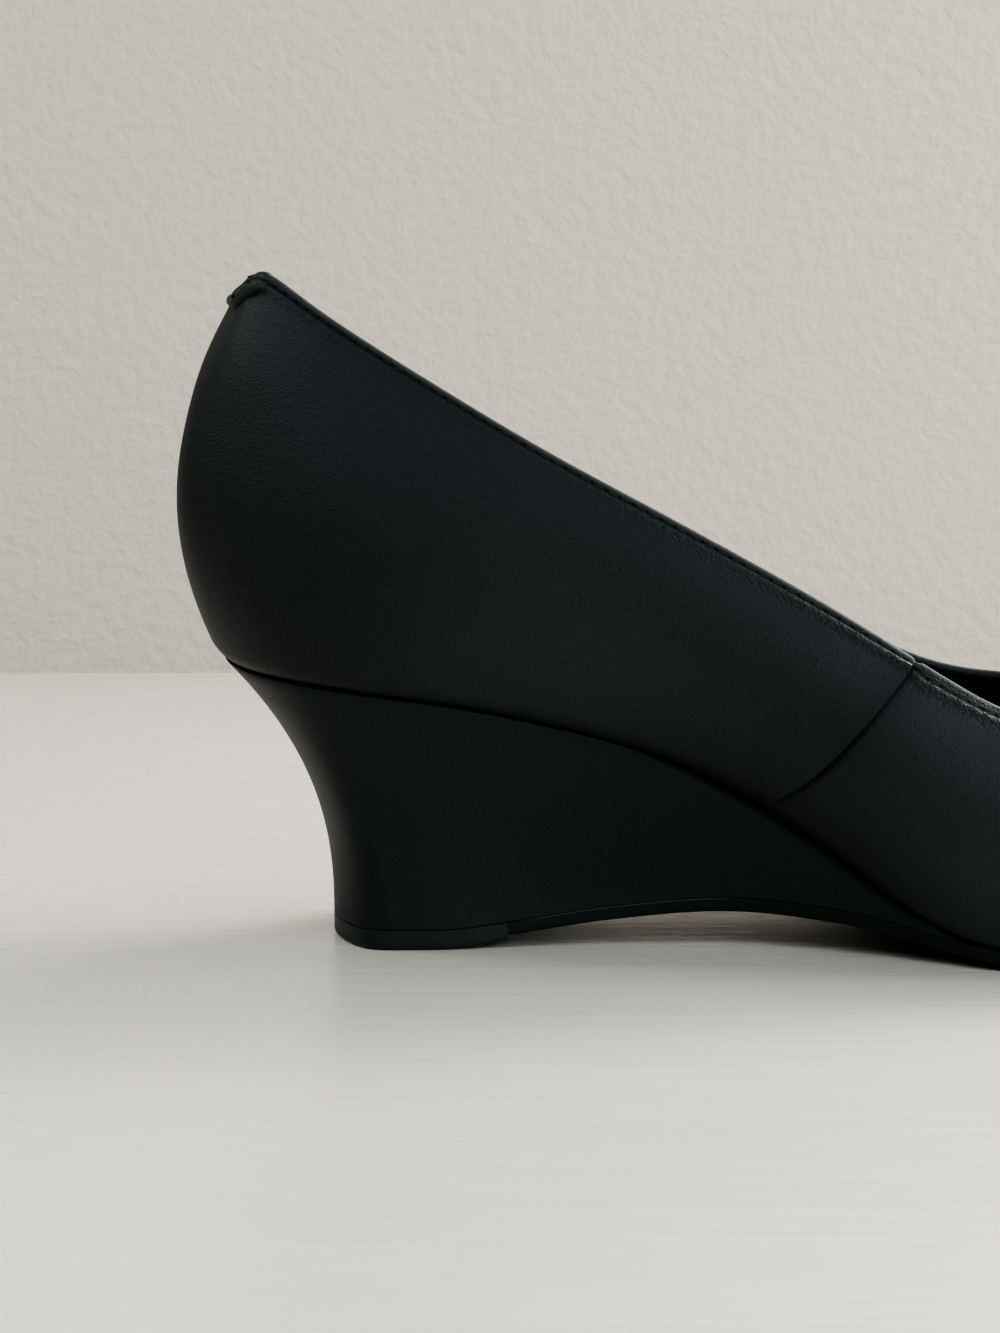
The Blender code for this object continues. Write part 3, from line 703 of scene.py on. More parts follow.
def upper_marks_and_painted_light(tree, colour, rough, height):
    """The upper's marks: painted light from the floor low down, painted shade in the needle holes and
    along the seams, a painted reflection on the turned edge, pulled leather.
    """
    row = split(tree, add_node(tree, "ShaderNodeUVMap", uv_map="stitching").outputs[0])
    marks = use_group(tree, MARKS, Stitch=row["X"], Across=row["Y"])
    # Painted light: the upper is lighter low down, for the floor's reflected light.
    colour = blend_colour(tree, attribute(tree, "painted_floor_light"), colour, PAINTED_FLOOR_LIGHT_COLOUR)
    # Painted shade: the needle holes and a strip beside the quarter's edge at each seam go near
    # black.
    painted_shade_mask = compute(tree, "MAXIMUM", marks["Hole"], attribute(tree, "seam"))
    colour = blend_colour(tree, painted_shade_mask, colour, HOLE_AND_SEAM_SHADE_COLOUR)
    rough = add(tree, rough, multiply(tree, painted_shade_mask, 0.35))
    # Painted reflection on the turned lip, weaker at the front.
    turned = attribute(tree, "turned")
    colour = blend_colour(tree, multiply(tree, turned, 0.8), colour, LIP_REFLECTION_COLOUR)
    rough = add(tree, rough, multiply(tree, turned, 0.20))
    pull = attribute(tree, "pull")
    height = add(tree, height, multiply(tree, marks["Pucker"], multiply(tree, pull, 1.6)))
    height = add(tree, height, multiply(tree, marks["Crinkle"], multiply(tree, pull, 3.4)))
    return colour, rough, subtract(tree, height, multiply(tree, marks["Hole"], 5.0))


def painted_tuck_shade_marks(tree, colour, rough, height):
    """The wedge's upper edge, with painted shade where it goes in under the upper."""
    painted_shade_mask = attribute(tree, "painted_tuck_shade")
    colour = blend_colour(tree, painted_shade_mask, colour, PAINTED_TUCK_SHADE_COLOUR)
    return colour, add(tree, rough, multiply(tree, painted_shade_mask, 0.45)), height


def leather_finish(name, dark, light, gloss, cell, depth, marks=None):
    """Grained leather. gloss is its lowest and highest roughness, marks adds a piece's own marks with
    its painted light and shade.
    """
    constants = {"Specular_IOR_Level": 0.43, "Specular_Tint": COOL_SHEEN}
    finish, tree, shader, place = start_finish(name, **constants)
    grain = use_group(tree, GRAIN, Place=place, Cell=cell)
    slow = use_group(tree, SLOW, Place=place)["Change"]
    colour = blend_colour(tree, remap(tree, slow, -1.0, 1.0), dark, light)
    colour = blend_colour(tree, grain["Tone"], tuple(CREASE_SHADE * c for c in dark), colour)
    rough = remap(tree, slow, -1.0, 1.0, *gloss, "LINEAR")
    rough = add(tree, rough, remap(tree, grain["Tone"], 0.0, 1.0, 0.10, 0.0))
    looks = (colour, rough, grain["Height"])
    if marks:
        looks = marks(tree, *looks)
    complete(tree, shader, *looks, depth)
    return finish


def rubber_finish(name, dark, light, gloss, depth):
    """Moulded black rubber with fine grit in its skin, a painted highlight along an edge, and a
    little dust low down.
    """
    constants = {"Specular_IOR_Level": 0.28, "Specular_Tint": COOL_SHEEN}
    finish, tree, shader, place = start_finish(name, **constants)
    slow = use_group(tree, SLOW, Place=place, Patch=0.012)["Change"]
    grit = noise(tree, place, 3600.0, 3.0)["Fac"]
    dust = use_group(tree, DUST, Place=place, Height=DUST_HEIGHT)["Dust"]
    colour = blend_colour(tree, remap(tree, slow, -1.0, 1.0), dark, light)
    colour = blend_colour(tree, multiply(tree, dust, 0.22), colour, DUST_COLOUR)
    # Painted highlight where a piece marks it, broken up by the grit.
    edge_highlight = multiply(tree, attribute(tree, "painted_edge_highlight"), remap(tree, grit, 0.35, 0.6, 0.35, 1.0))
    colour = blend_colour(tree, edge_highlight, colour, PAINTED_EDGE_HIGHLIGHT_COLOUR)
    rough = remap(tree, slow, -1.0, 1.0, *gloss, "LINEAR")
    complete(tree, shader, colour, add(tree, rough, multiply(tree, dust, 0.2)), grit, depth)
    return finish


def thread_finish(name, dark, light):
    """Waxed black sewing thread with its twist."""
    finish, tree, shader, place = start_finish(name, Specular_IOR_Level=0.2)
    twist = noise(tree, place, 9000.0, 1.0)["Fac"]
    rough = remap(tree, twist, 0.2, 0.8, 0.7, 0.5)
    complete(tree, shader, blend_colour(tree, twist, dark, light), rough, twist, 0.00006)
    return finish


UPPER_LEATHER = leather_finish(
    "upper_leather",
    dark=(0.0036, 0.0042, 0.0043),
    light=(0.0056, 0.0064, 0.0066),
    gloss=(0.42, 0.50),
    cell=0.00046,
    depth=0.000027,
    marks=upper_marks_and_painted_light,
)
WEDGE_LEATHER = leather_finish(
    "wedge_leather",
    dark=(0.0048, 0.0062, 0.0065),
    light=(0.0072, 0.0090, 0.0094),
    gloss=(0.45, 0.52),
    cell=0.00040,
    depth=0.000016,
    marks=painted_tuck_shade_marks,
)
# Painted light: the tab's black leather is given a lighter colour than the upper's, for the light
# that falls on the tab.
TAB_LEATHER = leather_finish(
    "tab_leather",
    dark=(0.0150, 0.0158, 0.0152),
    light=(0.0210, 0.0220, 0.0212),
    gloss=(0.42, 0.50),
    cell=0.00040,
    depth=0.000022,
)
LINING_LEATHER = leather_finish(
    "lining_leather",
    dark=(0.0090, 0.0090, 0.0095),
    light=(0.0150, 0.0150, 0.0155),
    gloss=(0.60, 0.72),
    cell=0.00030,
    depth=0.000014,
)
SOCK_LEATHER = leather_finish(
    "sock_leather",
    dark=(0.0100, 0.0100, 0.0104),
    light=(0.0170, 0.0170, 0.0174),
    gloss=(0.52, 0.64),
    cell=0.00050,
    depth=0.000022,
)
SOLE_RUBBER = rubber_finish(
    "sole_rubber",
    dark=(0.0034, 0.0040, 0.0043),
    light=(0.0058, 0.0064, 0.0067),
    gloss=(0.52, 0.62),
    depth=0.000025,
)
TIP_RUBBER = rubber_finish(
    "tip_rubber",
    dark=(0.0130, 0.0150, 0.0162),
    light=(0.0190, 0.0214, 0.0230),
    gloss=(0.42, 0.52),
    depth=0.000020,
)
THREAD = thread_finish("waxed_thread", (0.010, 0.010, 0.011), (0.024, 0.024, 0.025))
# Painted shade: a near-black copy of the thread for the seams' closing stitches.
PAINTED_SHADE_THREAD = thread_finish("thread_in_painted_shade", (0.0008, 0.0008, 0.0009), (0.0020, 0.0020, 0.0022))


# The upper

LIP_ROWS = 7
INNER_ROWS = 24
WALL_STEPS = 42
TOP_ROWS_MM = [4.2, 3.6, 3.1, 2.6, 2.2, 1.85, 1.55, 1.3, 1.1]
TOP_ROWS_MM += [0.95, 0.82, 0.7, 0.58, 0.48, 0.4, 0.3, 0.18, 0.0]

# In mm: how deep the face goes on, the depths given to the rows below the wall, and the distance
# that means far from any stitch.
FACE_DEPTH = 79.0
ROUNDING_DEPTH = 80.0
UNDERFOOT_DEPTH = 90.0
FAR_OFF = 60.0

SEAM_FOOT = place_at(FEATHER_ROWS, SEAM_BOTTOM_X)
SEAM_HEAD = place_at(TOPLINE_ROWS, SEAM_TOP_X)
SEAM_MIDDLE = (SEAM_FOOT + SEAM_HEAD) / 2
SEAM_SWAY = 0.090

# The rows of the lasted margin, by their distance in from the feather line.
MARGIN_INSETS = (LASTING_MARGIN, 0.0065, 0.0042)

# Where along the shoe the rounding at the feather line gets tighter, and by what share.
TIGHTER_X = (0.098, 0.120)
TIGHTER_BY = 0.6

# Where along the shoe, in mm, the topline's stitches begin to pull the leather hard.
PULLED_X_MM = (70, 112)

# Reliefs in mm: the quarter's turned edge over the vamp, the vamp's dip beside it, the stitches'
# channel and the swell under it, with what a hard pull adds to each.
QUARTER_EDGE_MM = 0.50
VAMP_DIP_MM = 0.42
CHANNEL_MM, PULLED_CHANNEL_MM = 0.22, 0.06
SWELL_MM, PULLED_SWELL_MM = 0.08, 0.20

# The lip's height as a share of a half round, and how much of it a seam pinches away.
LIP_HEIGHT = 1.10
LIP_PINCH = 0.55

Upper = namedtuple("Upper", "outer lip inner normal depth below pulled to_seam seam_columns")
StitchRow = namedtuple("StitchRow", "points out walked first last count")


def upper_stations():
    """Columns round the shoe, closer together at the side seams, with one exactly on each seam."""
    on_seam, by_seam, between = 0.00015, 0.00038, 0.00162

    def spacing(at):
        away = np.abs(at - SEAM_MIDDLE)
        close = smooth_step(0.0006, 0.0035, away)
        return on_seam + by_seam * close + between * smooth_step(0.004, 0.017, away)

    rear = spaced(SEAM_MIDDLE, spacing)
    front = SEAM_MIDDLE + spaced(PERIOD / 2 - SEAM_MIDDLE, lambda at: spacing(at + SEAM_MIDDLE))
    half = np.concatenate([rear, front[1:]])
    return np.concatenate([half, PERIOD - half[-2:0:-1]]), len(rear) - 1


def lean_to_seams(stations, share):
    """The stations at a share of the wall's height, leaned so that one column follows each seam."""
    bowed = share + SEAM_BOW * share * (1 - share)
    shift = (SEAM_FOOT - SEAM_MIDDLE) + (SEAM_HEAD - SEAM_FOOT) * bowed
    leaned = stations.copy()
    for middle, way in ((SEAM_MIDDLE, 1), (PERIOD - SEAM_MIDDLE, -1)):
        near = np.clip(1 - ((stations - middle) / SEAM_SWAY) ** 2, 0, 1) ** 2
        leaned = leaned + near * shift * way
    return leaned


def upper_form(stations):
    """The outer face's grid and each point's depth below the topline in mm."""
    columns, depth = [], []

    def add_row(points, below):
        columns.append(points)
        depth.append(np.zeros(len(stations)) + below)

    foot = lean_to_seams(stations, 0.0)
    corner = feather_line(foot)
    radius = FEATHER_RADIUS * (1 - TIGHTER_BY * smooth_step(*TIGHTER_X, corner[:, 0]))
    start = wall_start(foot, radius)
    flat = feather_line(foot, radius)
    rounded = on_wall(foot, start)
    for inset in (*MARGIN_INSETS, radius):
        add_row(feather_line(foot, inset), UNDERFOOT_DEPTH)
    for t in np.linspace(0, 1, 8)[1:-1]:
        add_row((1 - t) ** 2 * flat + 2 * t * (1 - t) * corner + t * t * rounded, ROUNDING_DEPTH)
    speed = wall_end_speed(stations)
    last = 1 - TOP_ROWS_MM[0] * MM / speed
    medial = slice(0, len(stations) // 2)
    seam_last = float(np.interp(SEAM_MIDDLE, stations[medial], last[medial]))
    for q in np.linspace(0, 1, WALL_STEPS + 1)[:-1]:
        t = start + (last - start) * q
        below = TOP_ROWS_MM[0] + (last - t) * speed / MM
        add_row(on_wall(lean_to_seams(stations, seam_last * q), t), below)
    for below in TOP_ROWS_MM:
        share = 1 - (1 - seam_last) * below / TOP_ROWS_MM[0]
        add_row(on_wall(lean_to_seams(stations, share), 1 - below * MM / speed), below)
    return np.stack(columns, axis=1), np.stack(depth, axis=1)


def seam_distance(grid, column, way):
    """Each point's distance in mm from the seam's column, along its row, towards the toe."""
    walked = np.cumsum(np.linalg.norm(np.diff(grid, axis=0, append=grid[:1]), axis=2), axis=0)
    walked = np.roll(walked, 1, axis=0)
    walked[0] = 0
    return way * (walked - walked[column]) / MM


def seam_relief(distance):
    """The quarter's turned edge stands over the vamp, which dips where it goes under."""
    quarter = QUARTER_EDGE_MM * np.exp(np.minimum(distance, 0) / 2.6)
    quarter *= 1 - smooth_step(-0.32, 0.08, distance)
    vamp = VAMP_DIP_MM * np.exp(-np.maximum(distance, 0) / 2.2)
    return quarter - vamp * smooth_step(-0.20, 0.08, distance)


def hump(value, middle, width):
    """A soft rise to 1 at the middle that has faded out two widths away."""
    return np.exp(-(((value - middle) / width) ** 2))


def topline_relief(below, pulled):
    """The channel that the stitches press and the swell under it, in mm, by distance from the row."""
    channel = (CHANNEL_MM + PULLED_CHANNEL_MM * pulled) * hump(below, 0, 0.24)
    swell = (SWELL_MM + PULLED_SWELL_MM * pulled) * hump(below, 0.95, 0.70)
    return swell - channel


def trough_relief(grid):
    """Soft troughs and ridges in the leather, in mm."""
    relief = np.zeros(grid.shape[:2])
    x, y, z = np.moveaxis(grid, 2, 0) / MM
    for row in TROUGHS:
        turn = math.radians(row.angle)
        along = (x - row.x) * math.cos(turn) + (z - row.height) * math.sin(turn)
        across = -(x - row.x) * math.sin(turn) + (z - row.height) * math.cos(turn)
        side = {"medial": y < 0, "lateral": y > 0, "back": True}[row.side]
        relief -= row.depth * hump(along, 0, row.length) * hump(across, 0, row.width) * side
    return relief


def walk(points):
    """Distance walked along a line of points, in mm."""
    return np.append(0, np.cumsum(np.linalg.norm(np.diff(points, axis=0), axis=1))) / MM


def at_places(places, walked, points):
    """Points at given walked distances along a line."""
    return np.stack([np.interp(places, walked, points[:, k]) for k in range(3)], axis=-1)


def close_line(points):
    return np.concatenate([points, points[:1]])


def unit(vectors):
    return vectors / np.linalg.norm(vectors, axis=-1, keepdims=True)


def form_lip(edge, normal, up, to_seam):
    """The rounded lip from the outer edge over to the lining, pinched where a seam passes."""
    inner_edge = edge - normal * WALL_THICKNESS
    middle, half = (edge + inner_edge) / 2, (edge - inner_edge) / 2
    height = LIP_HEIGHT - LIP_PINCH * hump(to_seam, 0.2, 0.50)
    rows = []
    for k in range(1, LIP_ROWS + 1):
        angle = math.pi * k / (LIP_ROWS + 1)
        rise = up * WALL_THICKNESS / 2 * math.sin(angle) * height
        rows.append(middle + half * math.cos(angle) + rise)
    return np.stack(rows, axis=1)


def form_upper():
    """The upper's grids, which its piece, the stitches and the tab are made from."""
    stations, seam_column = upper_stations()
    grid, depth = upper_form(stations)
    normal = grid_normals(grid)
    count = len(stations)
    seam_columns = (seam_column, count - seam_column)
    medial_half = (np.arange(count) <= count // 2)[:, None]
    distances = [seam_distance(grid, c, way) for c, way in zip(seam_columns, (1, -1))]
    to_seam = np.where(medial_half, *distances)
    pulled = smooth_step(*PULLED_X_MM, grid[:, :, 0] / MM)
    past_seam = smooth_step(-0.8, 2.6, to_seam[:, -1:])
    further = VAMP_STITCH_BELOW_MM - QUARTER_STITCH_BELOW_MM
    below = depth - (QUARTER_STITCH_BELOW_MM + further * past_seam)
    relief = topline_relief(below, pulled) + trough_relief(grid)
    relief += seam_relief(to_seam) * smooth_step(-0.4, 1.2, depth)
    relief = np.where(depth < FACE_DEPTH, relief, 0)
    outer = grid + normal * (relief * MM)[:, :, None]
    lip = form_lip(grid[:, -1], normal[:, -1], unit(grid[:, -1] - grid[:, -2]), to_seam[:, -1:])
    kept = np.unique(np.linspace(0, grid.shape[1] - 1, INNER_ROWS).astype(int))
    inner = (grid - normal * WALL_THICKNESS)[:, kept][:, ::-1]
    return Upper(outer, lip, inner, normal, depth, below, pulled, to_seam, seam_columns)


def stitch_row(upper):
    """The closed line that the topline's stitches follow, and where on it they start and end."""
    top = slice(-len(TOP_ROWS_MM), None)
    points, out = [], []
    for line, facing, below in zip(upper.outer[:, top], upper.normal[:, top], upper.below[:, top]):
        order = np.argsort(below)
        points.append(at_places(0, below[order], line[order]))
        out.append(at_places(0, below[order], facing[order]))
    points, out = close_line(np.array(points)), close_line(np.array(out))
    walked = walk(points)
    under_tab = 0.6
    first, last = TAB_HALF_WIDTH_MM - under_tab, walked[-1] - TAB_HALF_WIDTH_MM + under_tab
    count = int(round((last - first) / STITCH_PITCH_MM))
    return StitchRow(points, out, walked, first, last, count)


def upper_values(upper, columns):
    """The values that the upper's finish reads, for each point of its ring."""

    def on_ring(values, elsewhere):
        ring = np.full((len(values), columns), elsewhere)
        ring[:, : values.shape[1]] = values
        return ring

    face = upper.depth < FACE_DEPTH
    # Painted shade under the quarter's edge along each side seam, wider lower down.
    wide = 0.45 + 0.65 * smooth_step(6, 26, upper.depth)
    shadow = smooth_step(-0.10, 0.06, upper.to_seam)
    shadow *= 1 - np.clip((upper.to_seam - 0.10) / wide, 0, 1) ** 1.5
    shadow *= smooth_step(-0.3, 0.8, upper.depth) * face
    # Where the lip gets its painted reflection and its rougher finish.
    turned = on_ring(1 - smooth_step(-0.45, -0.12, upper.below), 1.0)
    x = upper.outer[:, :, 0] / MM
    bottom = np.max(upper.depth * face, axis=1, keepdims=True)
    # Painted light from the floor: lighter towards the feather line, most at the vamp.
    painted_floor_light = smooth_step(0.40, 0.85, upper.depth / bottom) * smooth_step(20, 45, x)
    return {
        "seam": on_ring(shadow, 0.0),
        "pull": on_ring(0.25 + 0.75 * upper.pulled, 0.0),
        "turned": turned * (1 - 0.55 * upper.pulled[:, -1:]),
        "painted_floor_light": on_ring(painted_floor_light * (0.35 + 0.65 * smooth_step(100, 122, x)), 0.0),
    }


def make_upper(upper, row):
    """The upper in one ring: outer face, lip and lining, with the stitching's place as its UV."""
    ring = np.concatenate([upper.outer, upper.lip, upper.inner], axis=1)
    rows, columns = ring.shape[:2]
    outer_columns = upper.outer.shape[1]
    walked = row.walked[:-1]
    sewn = (walked >= row.first - 0.5) & (walked <= row.last + 0.5)
    uv = np.full((rows, columns, 2), FAR_OFF)
    uv[:, :, 0] = ((walked - row.first) / (row.last - row.first) * row.count)[:, None]
    uv[:, :outer_columns, 1] = np.where(sewn[:, None], upper.below, FAR_OFF)
    faces = skin_faces(rows, columns, rows_close=True, columns_close=True)
    lining = (np.tile(np.arange(columns), rows) >= outer_columns + LIP_ROWS - 2).astype(int)
    finishes = [UPPER_LEATHER, LINING_LEATHER]
    values = upper_values(upper, columns)
    points = ring.reshape(-1, 3)
    piece = new_piece("upper_leather", points, faces, finishes, lining, uv.reshape(-1, 2), values)
    belongs(piece, "upper", "upper")


# Stitches


def stitch_tree():
    """Lays short curved stitches along a line, each facing out of the leather."""
    tree = bpy.data.node_groups.new("row_of_stitches", "GeometryNodeTree")
    tree.interface.new_socket("Line", in_out="INPUT", socket_type="NodeSocketGeometry")
    tree.interface.new_socket("Stitches", in_out="INPUT", socket_type="NodeSocketInt")
    for label in ("Stitch Length", "Thread Radius", "Rise", "Sink", "Turn"):
        tree.interface.new_socket(label, in_out="INPUT", socket_type="NodeSocketFloat")
    tree.interface.new_socket("Thread", in_out="INPUT", socket_type="NodeSocketMaterial")
    tree.interface.new_socket("Stitching", in_out="OUTPUT", socket_type="NodeSocketGeometry")
    start = add_node(tree, "NodeGroupInput").outputs

    def step(kind, sources, **settings):
        return add_node(tree, kind, sources, **settings).outputs[0]

    line = step("GeometryNodeMeshToCurve", {"Mesh": start["Line"]})
    sources = {"Curve": line, "Count": start["Stitches"]}
    even = step("GeometryNodeResampleCurve", sources, mode="COUNT")

    half = multiply(tree, start["Stitch Length"], 0.5)
    back = multiply(tree, half, -1.0)
    sources = {
        "Resolution": 6,
        "Start": join(tree, X=back, Z=start["Sink"]),
        "Middle": join(tree, Z=start["Rise"]),
        "End": join(tree, X=half, Z=start["Sink"]),
    }
    bow = step("GeometryNodeCurveQuadraticBezier", sources)
    sources = {"Resolution": 6, "Radius": start["Thread Radius"]}
    ring = step("GeometryNodeCurvePrimitiveCircle", sources, mode="RADIUS")
    sources = {"Curve": bow, "Profile Curve": ring, "Fill Caps": True}
    strand = step("GeometryNodeCurveToMesh", sources)

    out = step("GeometryNodeInputNamedAttribute", {"Name": "out"}, data_type="FLOAT_VECTOR")
    along = {"Vector": step("GeometryNodeInputTangent", {})}
    along = step("FunctionNodeAlignRotationToVector", along, axis="X")
    facing = {"Rotation": along, "Vector": out}
    facing = step("FunctionNodeAlignRotationToVector", facing, axis="Z", pivot_axis="X")
    slant = {"Rotation": facing, "Rotate By": join(tree, Z=start["Turn"])}
    slant = step("FunctionNodeRotateRotation", slant, rotation_space="LOCAL")

    sources = {"Points": even, "Instance": strand, "Rotation": slant}
    laid = step("GeometryNodeInstanceOnPoints", sources)
    real = step("GeometryNodeRealizeInstances", {"Geometry": laid})
    soft = step("GeometryNodeSetShadeSmooth", {"Geometry": real})
    coloured = step("GeometryNodeSetMaterial", {"Geometry": soft, "Material": start["Thread"]})
    add_node(tree, "NodeGroupOutput", {"Stitching": coloured})
    return tree


STITCHES = stitch_tree()


def sew(name, points, out, count, stitch, thread):
    """A piece of stitching along a line of points in shoe coordinates."""
    mesh = bpy.data.meshes.new(name + "_line")
    placed = np.asarray(points) - (ORIGIN_X, 0, 0)
    mesh.from_pydata(placed.tolist(), [(k, k + 1) for k in range(len(placed) - 1)], [])
    layer = mesh.attributes.new("out", "FLOAT_VECTOR", "POINT")
    layer.data.foreach_set("vector", np.asarray(out, dtype=np.float32).ravel())
    line = link_object(name + "_line", mesh)
    modifier = line.modifiers.new("stitching", "NODES")
    modifier.node_group = STITCHES
    sizes = {
        "Stitches": count,
        "Stitch Length": stitch.length * MM,
        "Thread Radius": stitch.radius * MM,
        "Rise": stitch.rise * MM,
        "Sink": stitch.sink * MM,
        "Turn": stitch.turn,
        "Thread": thread,
    }
    for item in STITCHES.interface.items_tree:
        if item.name in sizes:
            modifier[item.identifier] = sizes[item.name]
    plain = bpy.data.meshes.new_from_object(line.evaluated_get(bpy.context.evaluated_depsgraph_get()))
    bpy.data.objects.remove(line)
    plain.name = name
    if "out" in plain.attributes:
        plain.attributes.remove(plain.attributes["out"])
    belongs(link_object(name, plain), "upper")


def make_topline_stitches(row):
    pitch = (row.last - row.first) / row.count
    places = np.linspace(row.first + pitch / 2, row.last - pitch / 2, row.count * 4)
    line = at_places(places, row.walked, row.points)
    out = unit(at_places(places, row.walked, row.out))
    sew("topline_stitches", line, out, row.count, TOPLINE_STITCH, THREAD)


def make_lining_stitches(upper, row):
    """The same stitches as they come out on the lining."""
    edge, normal = upper.inner[:, 0], upper.normal[:, -1]
    down = unit(upper.inner[:, 1] - edge)
    points = close_line(edge - normal * 0.02 * MM + down * LINING_STITCH_BELOW_MM * MM)
    walked = walk(points)
    places = np.linspace(TAB_HALF_WIDTH_MM, walked[-1] - TAB_HALF_WIDTH_MM, row.count * 4)
    line = at_places(places, walked, points)
    out = unit(at_places(places, walked, -close_line(normal)))
    sew("lining_stitches", line, out, row.count, LINING_STITCH, THREAD)


def make_seam_stitches(upper):
    """The closing stitches that show in the side seams' lower half."""
    for side, seam_column, way in zip(("medial", "lateral"), upper.seam_columns, (1, -1)):
        column = seam_column + SEAM_STITCH_COLUMNS * way
        rows = np.nonzero(upper.depth[seam_column] < FACE_DEPTH)[0]
        points, normal = upper.outer[column, rows], upper.normal[column, rows]
        walked = walk(points)
        places = np.arange(0.20 * walked[-1], 0.58 * walked[-1], CLOSING_PITCH_MM / 3)
        count = int(round((places[-1] - places[0]) / CLOSING_PITCH_MM)) + 1
        line = at_places(places, walked, points)
        out = unit(at_places(places, walked, normal))
        stitch = SEAM_STITCH._replace(turn=way * SEAM_STITCH.turn)
        # The closing stitches get the near-black copy of the thread, as painted shade.
        sew(side + "_seam_stitches", line, out, count, stitch, PAINTED_SHADE_THREAD)


# The heel tab

TabEdge = namedtuple("TabEdge", "share depth")
TAB_EDGE = [
    TabEdge(0.00, 1.00),  # centre back
    TabEdge(0.18, 1.60),
    TabEdge(0.36, 2.60),
    TabEdge(0.58, 3.45),
    TabEdge(0.78, 3.20),
    TabEdge(0.91, 2.40),
    TabEdge(1.00, 1.60),  # the rolled edge's round end
]
TAB_SEAM = 0.70
TAB_OUTER_ROWS = 30
TAB_INNER_ROWS = 9
TAB_ROLL_MM = 1.9
TAB_BEAD_MM = 0.65
TAB_ROUND_END = 0.91


def closed_slab(over, under):
    """The points and faces of a sheet between two like grids, closed round its rim."""
    rows, columns = over.shape[:2]
    size = rows * columns
    quads = skin_faces(rows, columns)
    spots = np.arange(size).reshape(rows, columns)
    rim = np.concatenate([spots[0], spots[1:, -1], spots[-1, -2::-1], spots[-2:0:-1, 0]])
    ahead = np.roll(rim, -1)
    side = np.stack([rim, ahead, ahead + size, rim + size], axis=1)
    points = np.concatenate([over.reshape(-1, 3), under.reshape(-1, 3)])
    return points, np.concatenate([quads, quads + size, side])


def tab_thickness(side, lower):
    """The tab's thickness in mm, by the share of its half width and the mm above its edge."""
    end = np.sqrt(np.clip(1 - ((side - TAB_ROUND_END) / 0.088) ** 2, 0, 1))
    end = np.where(side < TAB_ROUND_END, 1, end)
    crown = np.sqrt(np.clip(1 - ((lower - TAB_BEAD_MM) / TAB_BEAD_MM) ** 2, 0, 1))
    bead = (1.10 - 0.30 * hump(side, 0, 0.25)) * crown * end
    full = 0.40 + 0.50 * hump(side, 0.38, 0.24)
    past_seam = smooth_step(TAB_SEAM, TAB_SEAM + 0.04, side)
    body = full * smooth_step(1.15, 2.1, lower) * (1 - 0.55 * past_seam)
    body -= 0.26 * smooth_step(1.3, 1.6, lower) * hump(side, TAB_SEAM + 0.01, 0.018)
    thick = np.maximum(bead, body) + 0.05
    from_end = lower[:, -1:] - lower
    return thick * smooth_step(-0.1, 1.4, from_end) * np.clip((1 - side) * 14, 0.10, 1)


def make_tab(upper):
    """The binding that caps the dip in the topline, with its rolled lower edge."""
    count = len(upper.outer)
    order = np.concatenate([np.arange(count // 2, count) - count, np.arange(0, count // 2)])
    walked = walk(upper.outer[order, -1])
    walked -= walked[np.nonzero(order == 0)[0][0]]
    near = [upper.outer[:, -TAB_OUTER_ROWS:], upper.lip, upper.inner[:, :TAB_INNER_ROWS]]
    profile = np.concatenate(near, axis=1)
    columns = []
    shares = np.sin(np.linspace(-1, 1, 221) * math.pi / 2) * 0.998
    depths = steady_curve([r.share for r in TAB_EDGE], [r.depth for r in TAB_EDGE], np.abs(shares))
    for share, depth in zip(shares, depths):
        spot = np.interp(share * TAB_HALF_WIDTH_MM, walked, np.arange(count))
        low = int(spot)
        mix = spot - low
        line = (1 - mix) * profile[order[low]] + mix * profile[order[low + 1]]
        run = walk(line)
        run -= run[TAB_OUTER_ROWS - 1]
        stop = 2.75 + 2.2 * math.sqrt(1 - share**2)
        roll = -depth + TAB_ROLL_MM * np.linspace(0, 1, 23) * min(1, depth / TAB_ROLL_MM)
        places = np.concatenate([roll, np.linspace(roll[-1], stop, 26)[1:]])
        columns.append(at_places(places, run, line))
    grid = np.stack(columns)
    normal = grid_normals(grid, closed=False)
    lower = np.array([walk(c) for c in grid])
    thick = tab_thickness(np.abs(shares)[:, None], lower)
    outer = grid + normal * (thick * MM)[:, :, None]
    points, faces = closed_slab(outer, grid - normal * 0.25 * MM)
    belongs(new_piece("tab_leather", points, faces, [TAB_LEATHER]), "heel_tab", "heel_tab")
    return outer, normal, lower, shares


def make_thread_ends(tab):
    """Two trimmed thread ends in the crease above the tab's rolled edge."""
    grid, normal, lower, shares = tab
    rings, sides = 6, 6
    points, faces = [], []
    for share, up_line, lean in ((0.06, 1.6, 0.4), (TAB_SEAM + 0.01, 3.6, -0.4)):
        column = int(np.argmin(np.abs(shares - share)))
        row = int(np.argmin(np.abs(lower[column] - up_line)))
        out = normal[column, row]
        foot = grid[column, row] - out * 0.15 * MM
        side = unit(grid[column + 1, row] - grid[column - 1, row])
        up = np.cross(side, out)
        start = len(points)
        for t in np.linspace(0, 1, rings):
            bend = side * lean * t * t + out * t * (1.2 - 0.4 * t) + up * 0.5 * t
            radius = THREAD_RADIUS_MM * MM * (1.15 if t < 1 else 0.6)
            for turn in np.arange(sides) * math.tau / sides:
                edge = (side * math.cos(turn) + up * math.sin(turn)) * radius
                points.append(foot + bend * 0.60 * MM + edge)
        faces += (skin_faces(rings, sides, columns_close=True) + start).tolist()
        faces += [range(start, start + sides), range(len(points) - sides, len(points))]
    belongs(new_piece("tab_thread_ends", points, faces, [THREAD]), "heel_tab")


# The wedge, the sole, the tip and the sock

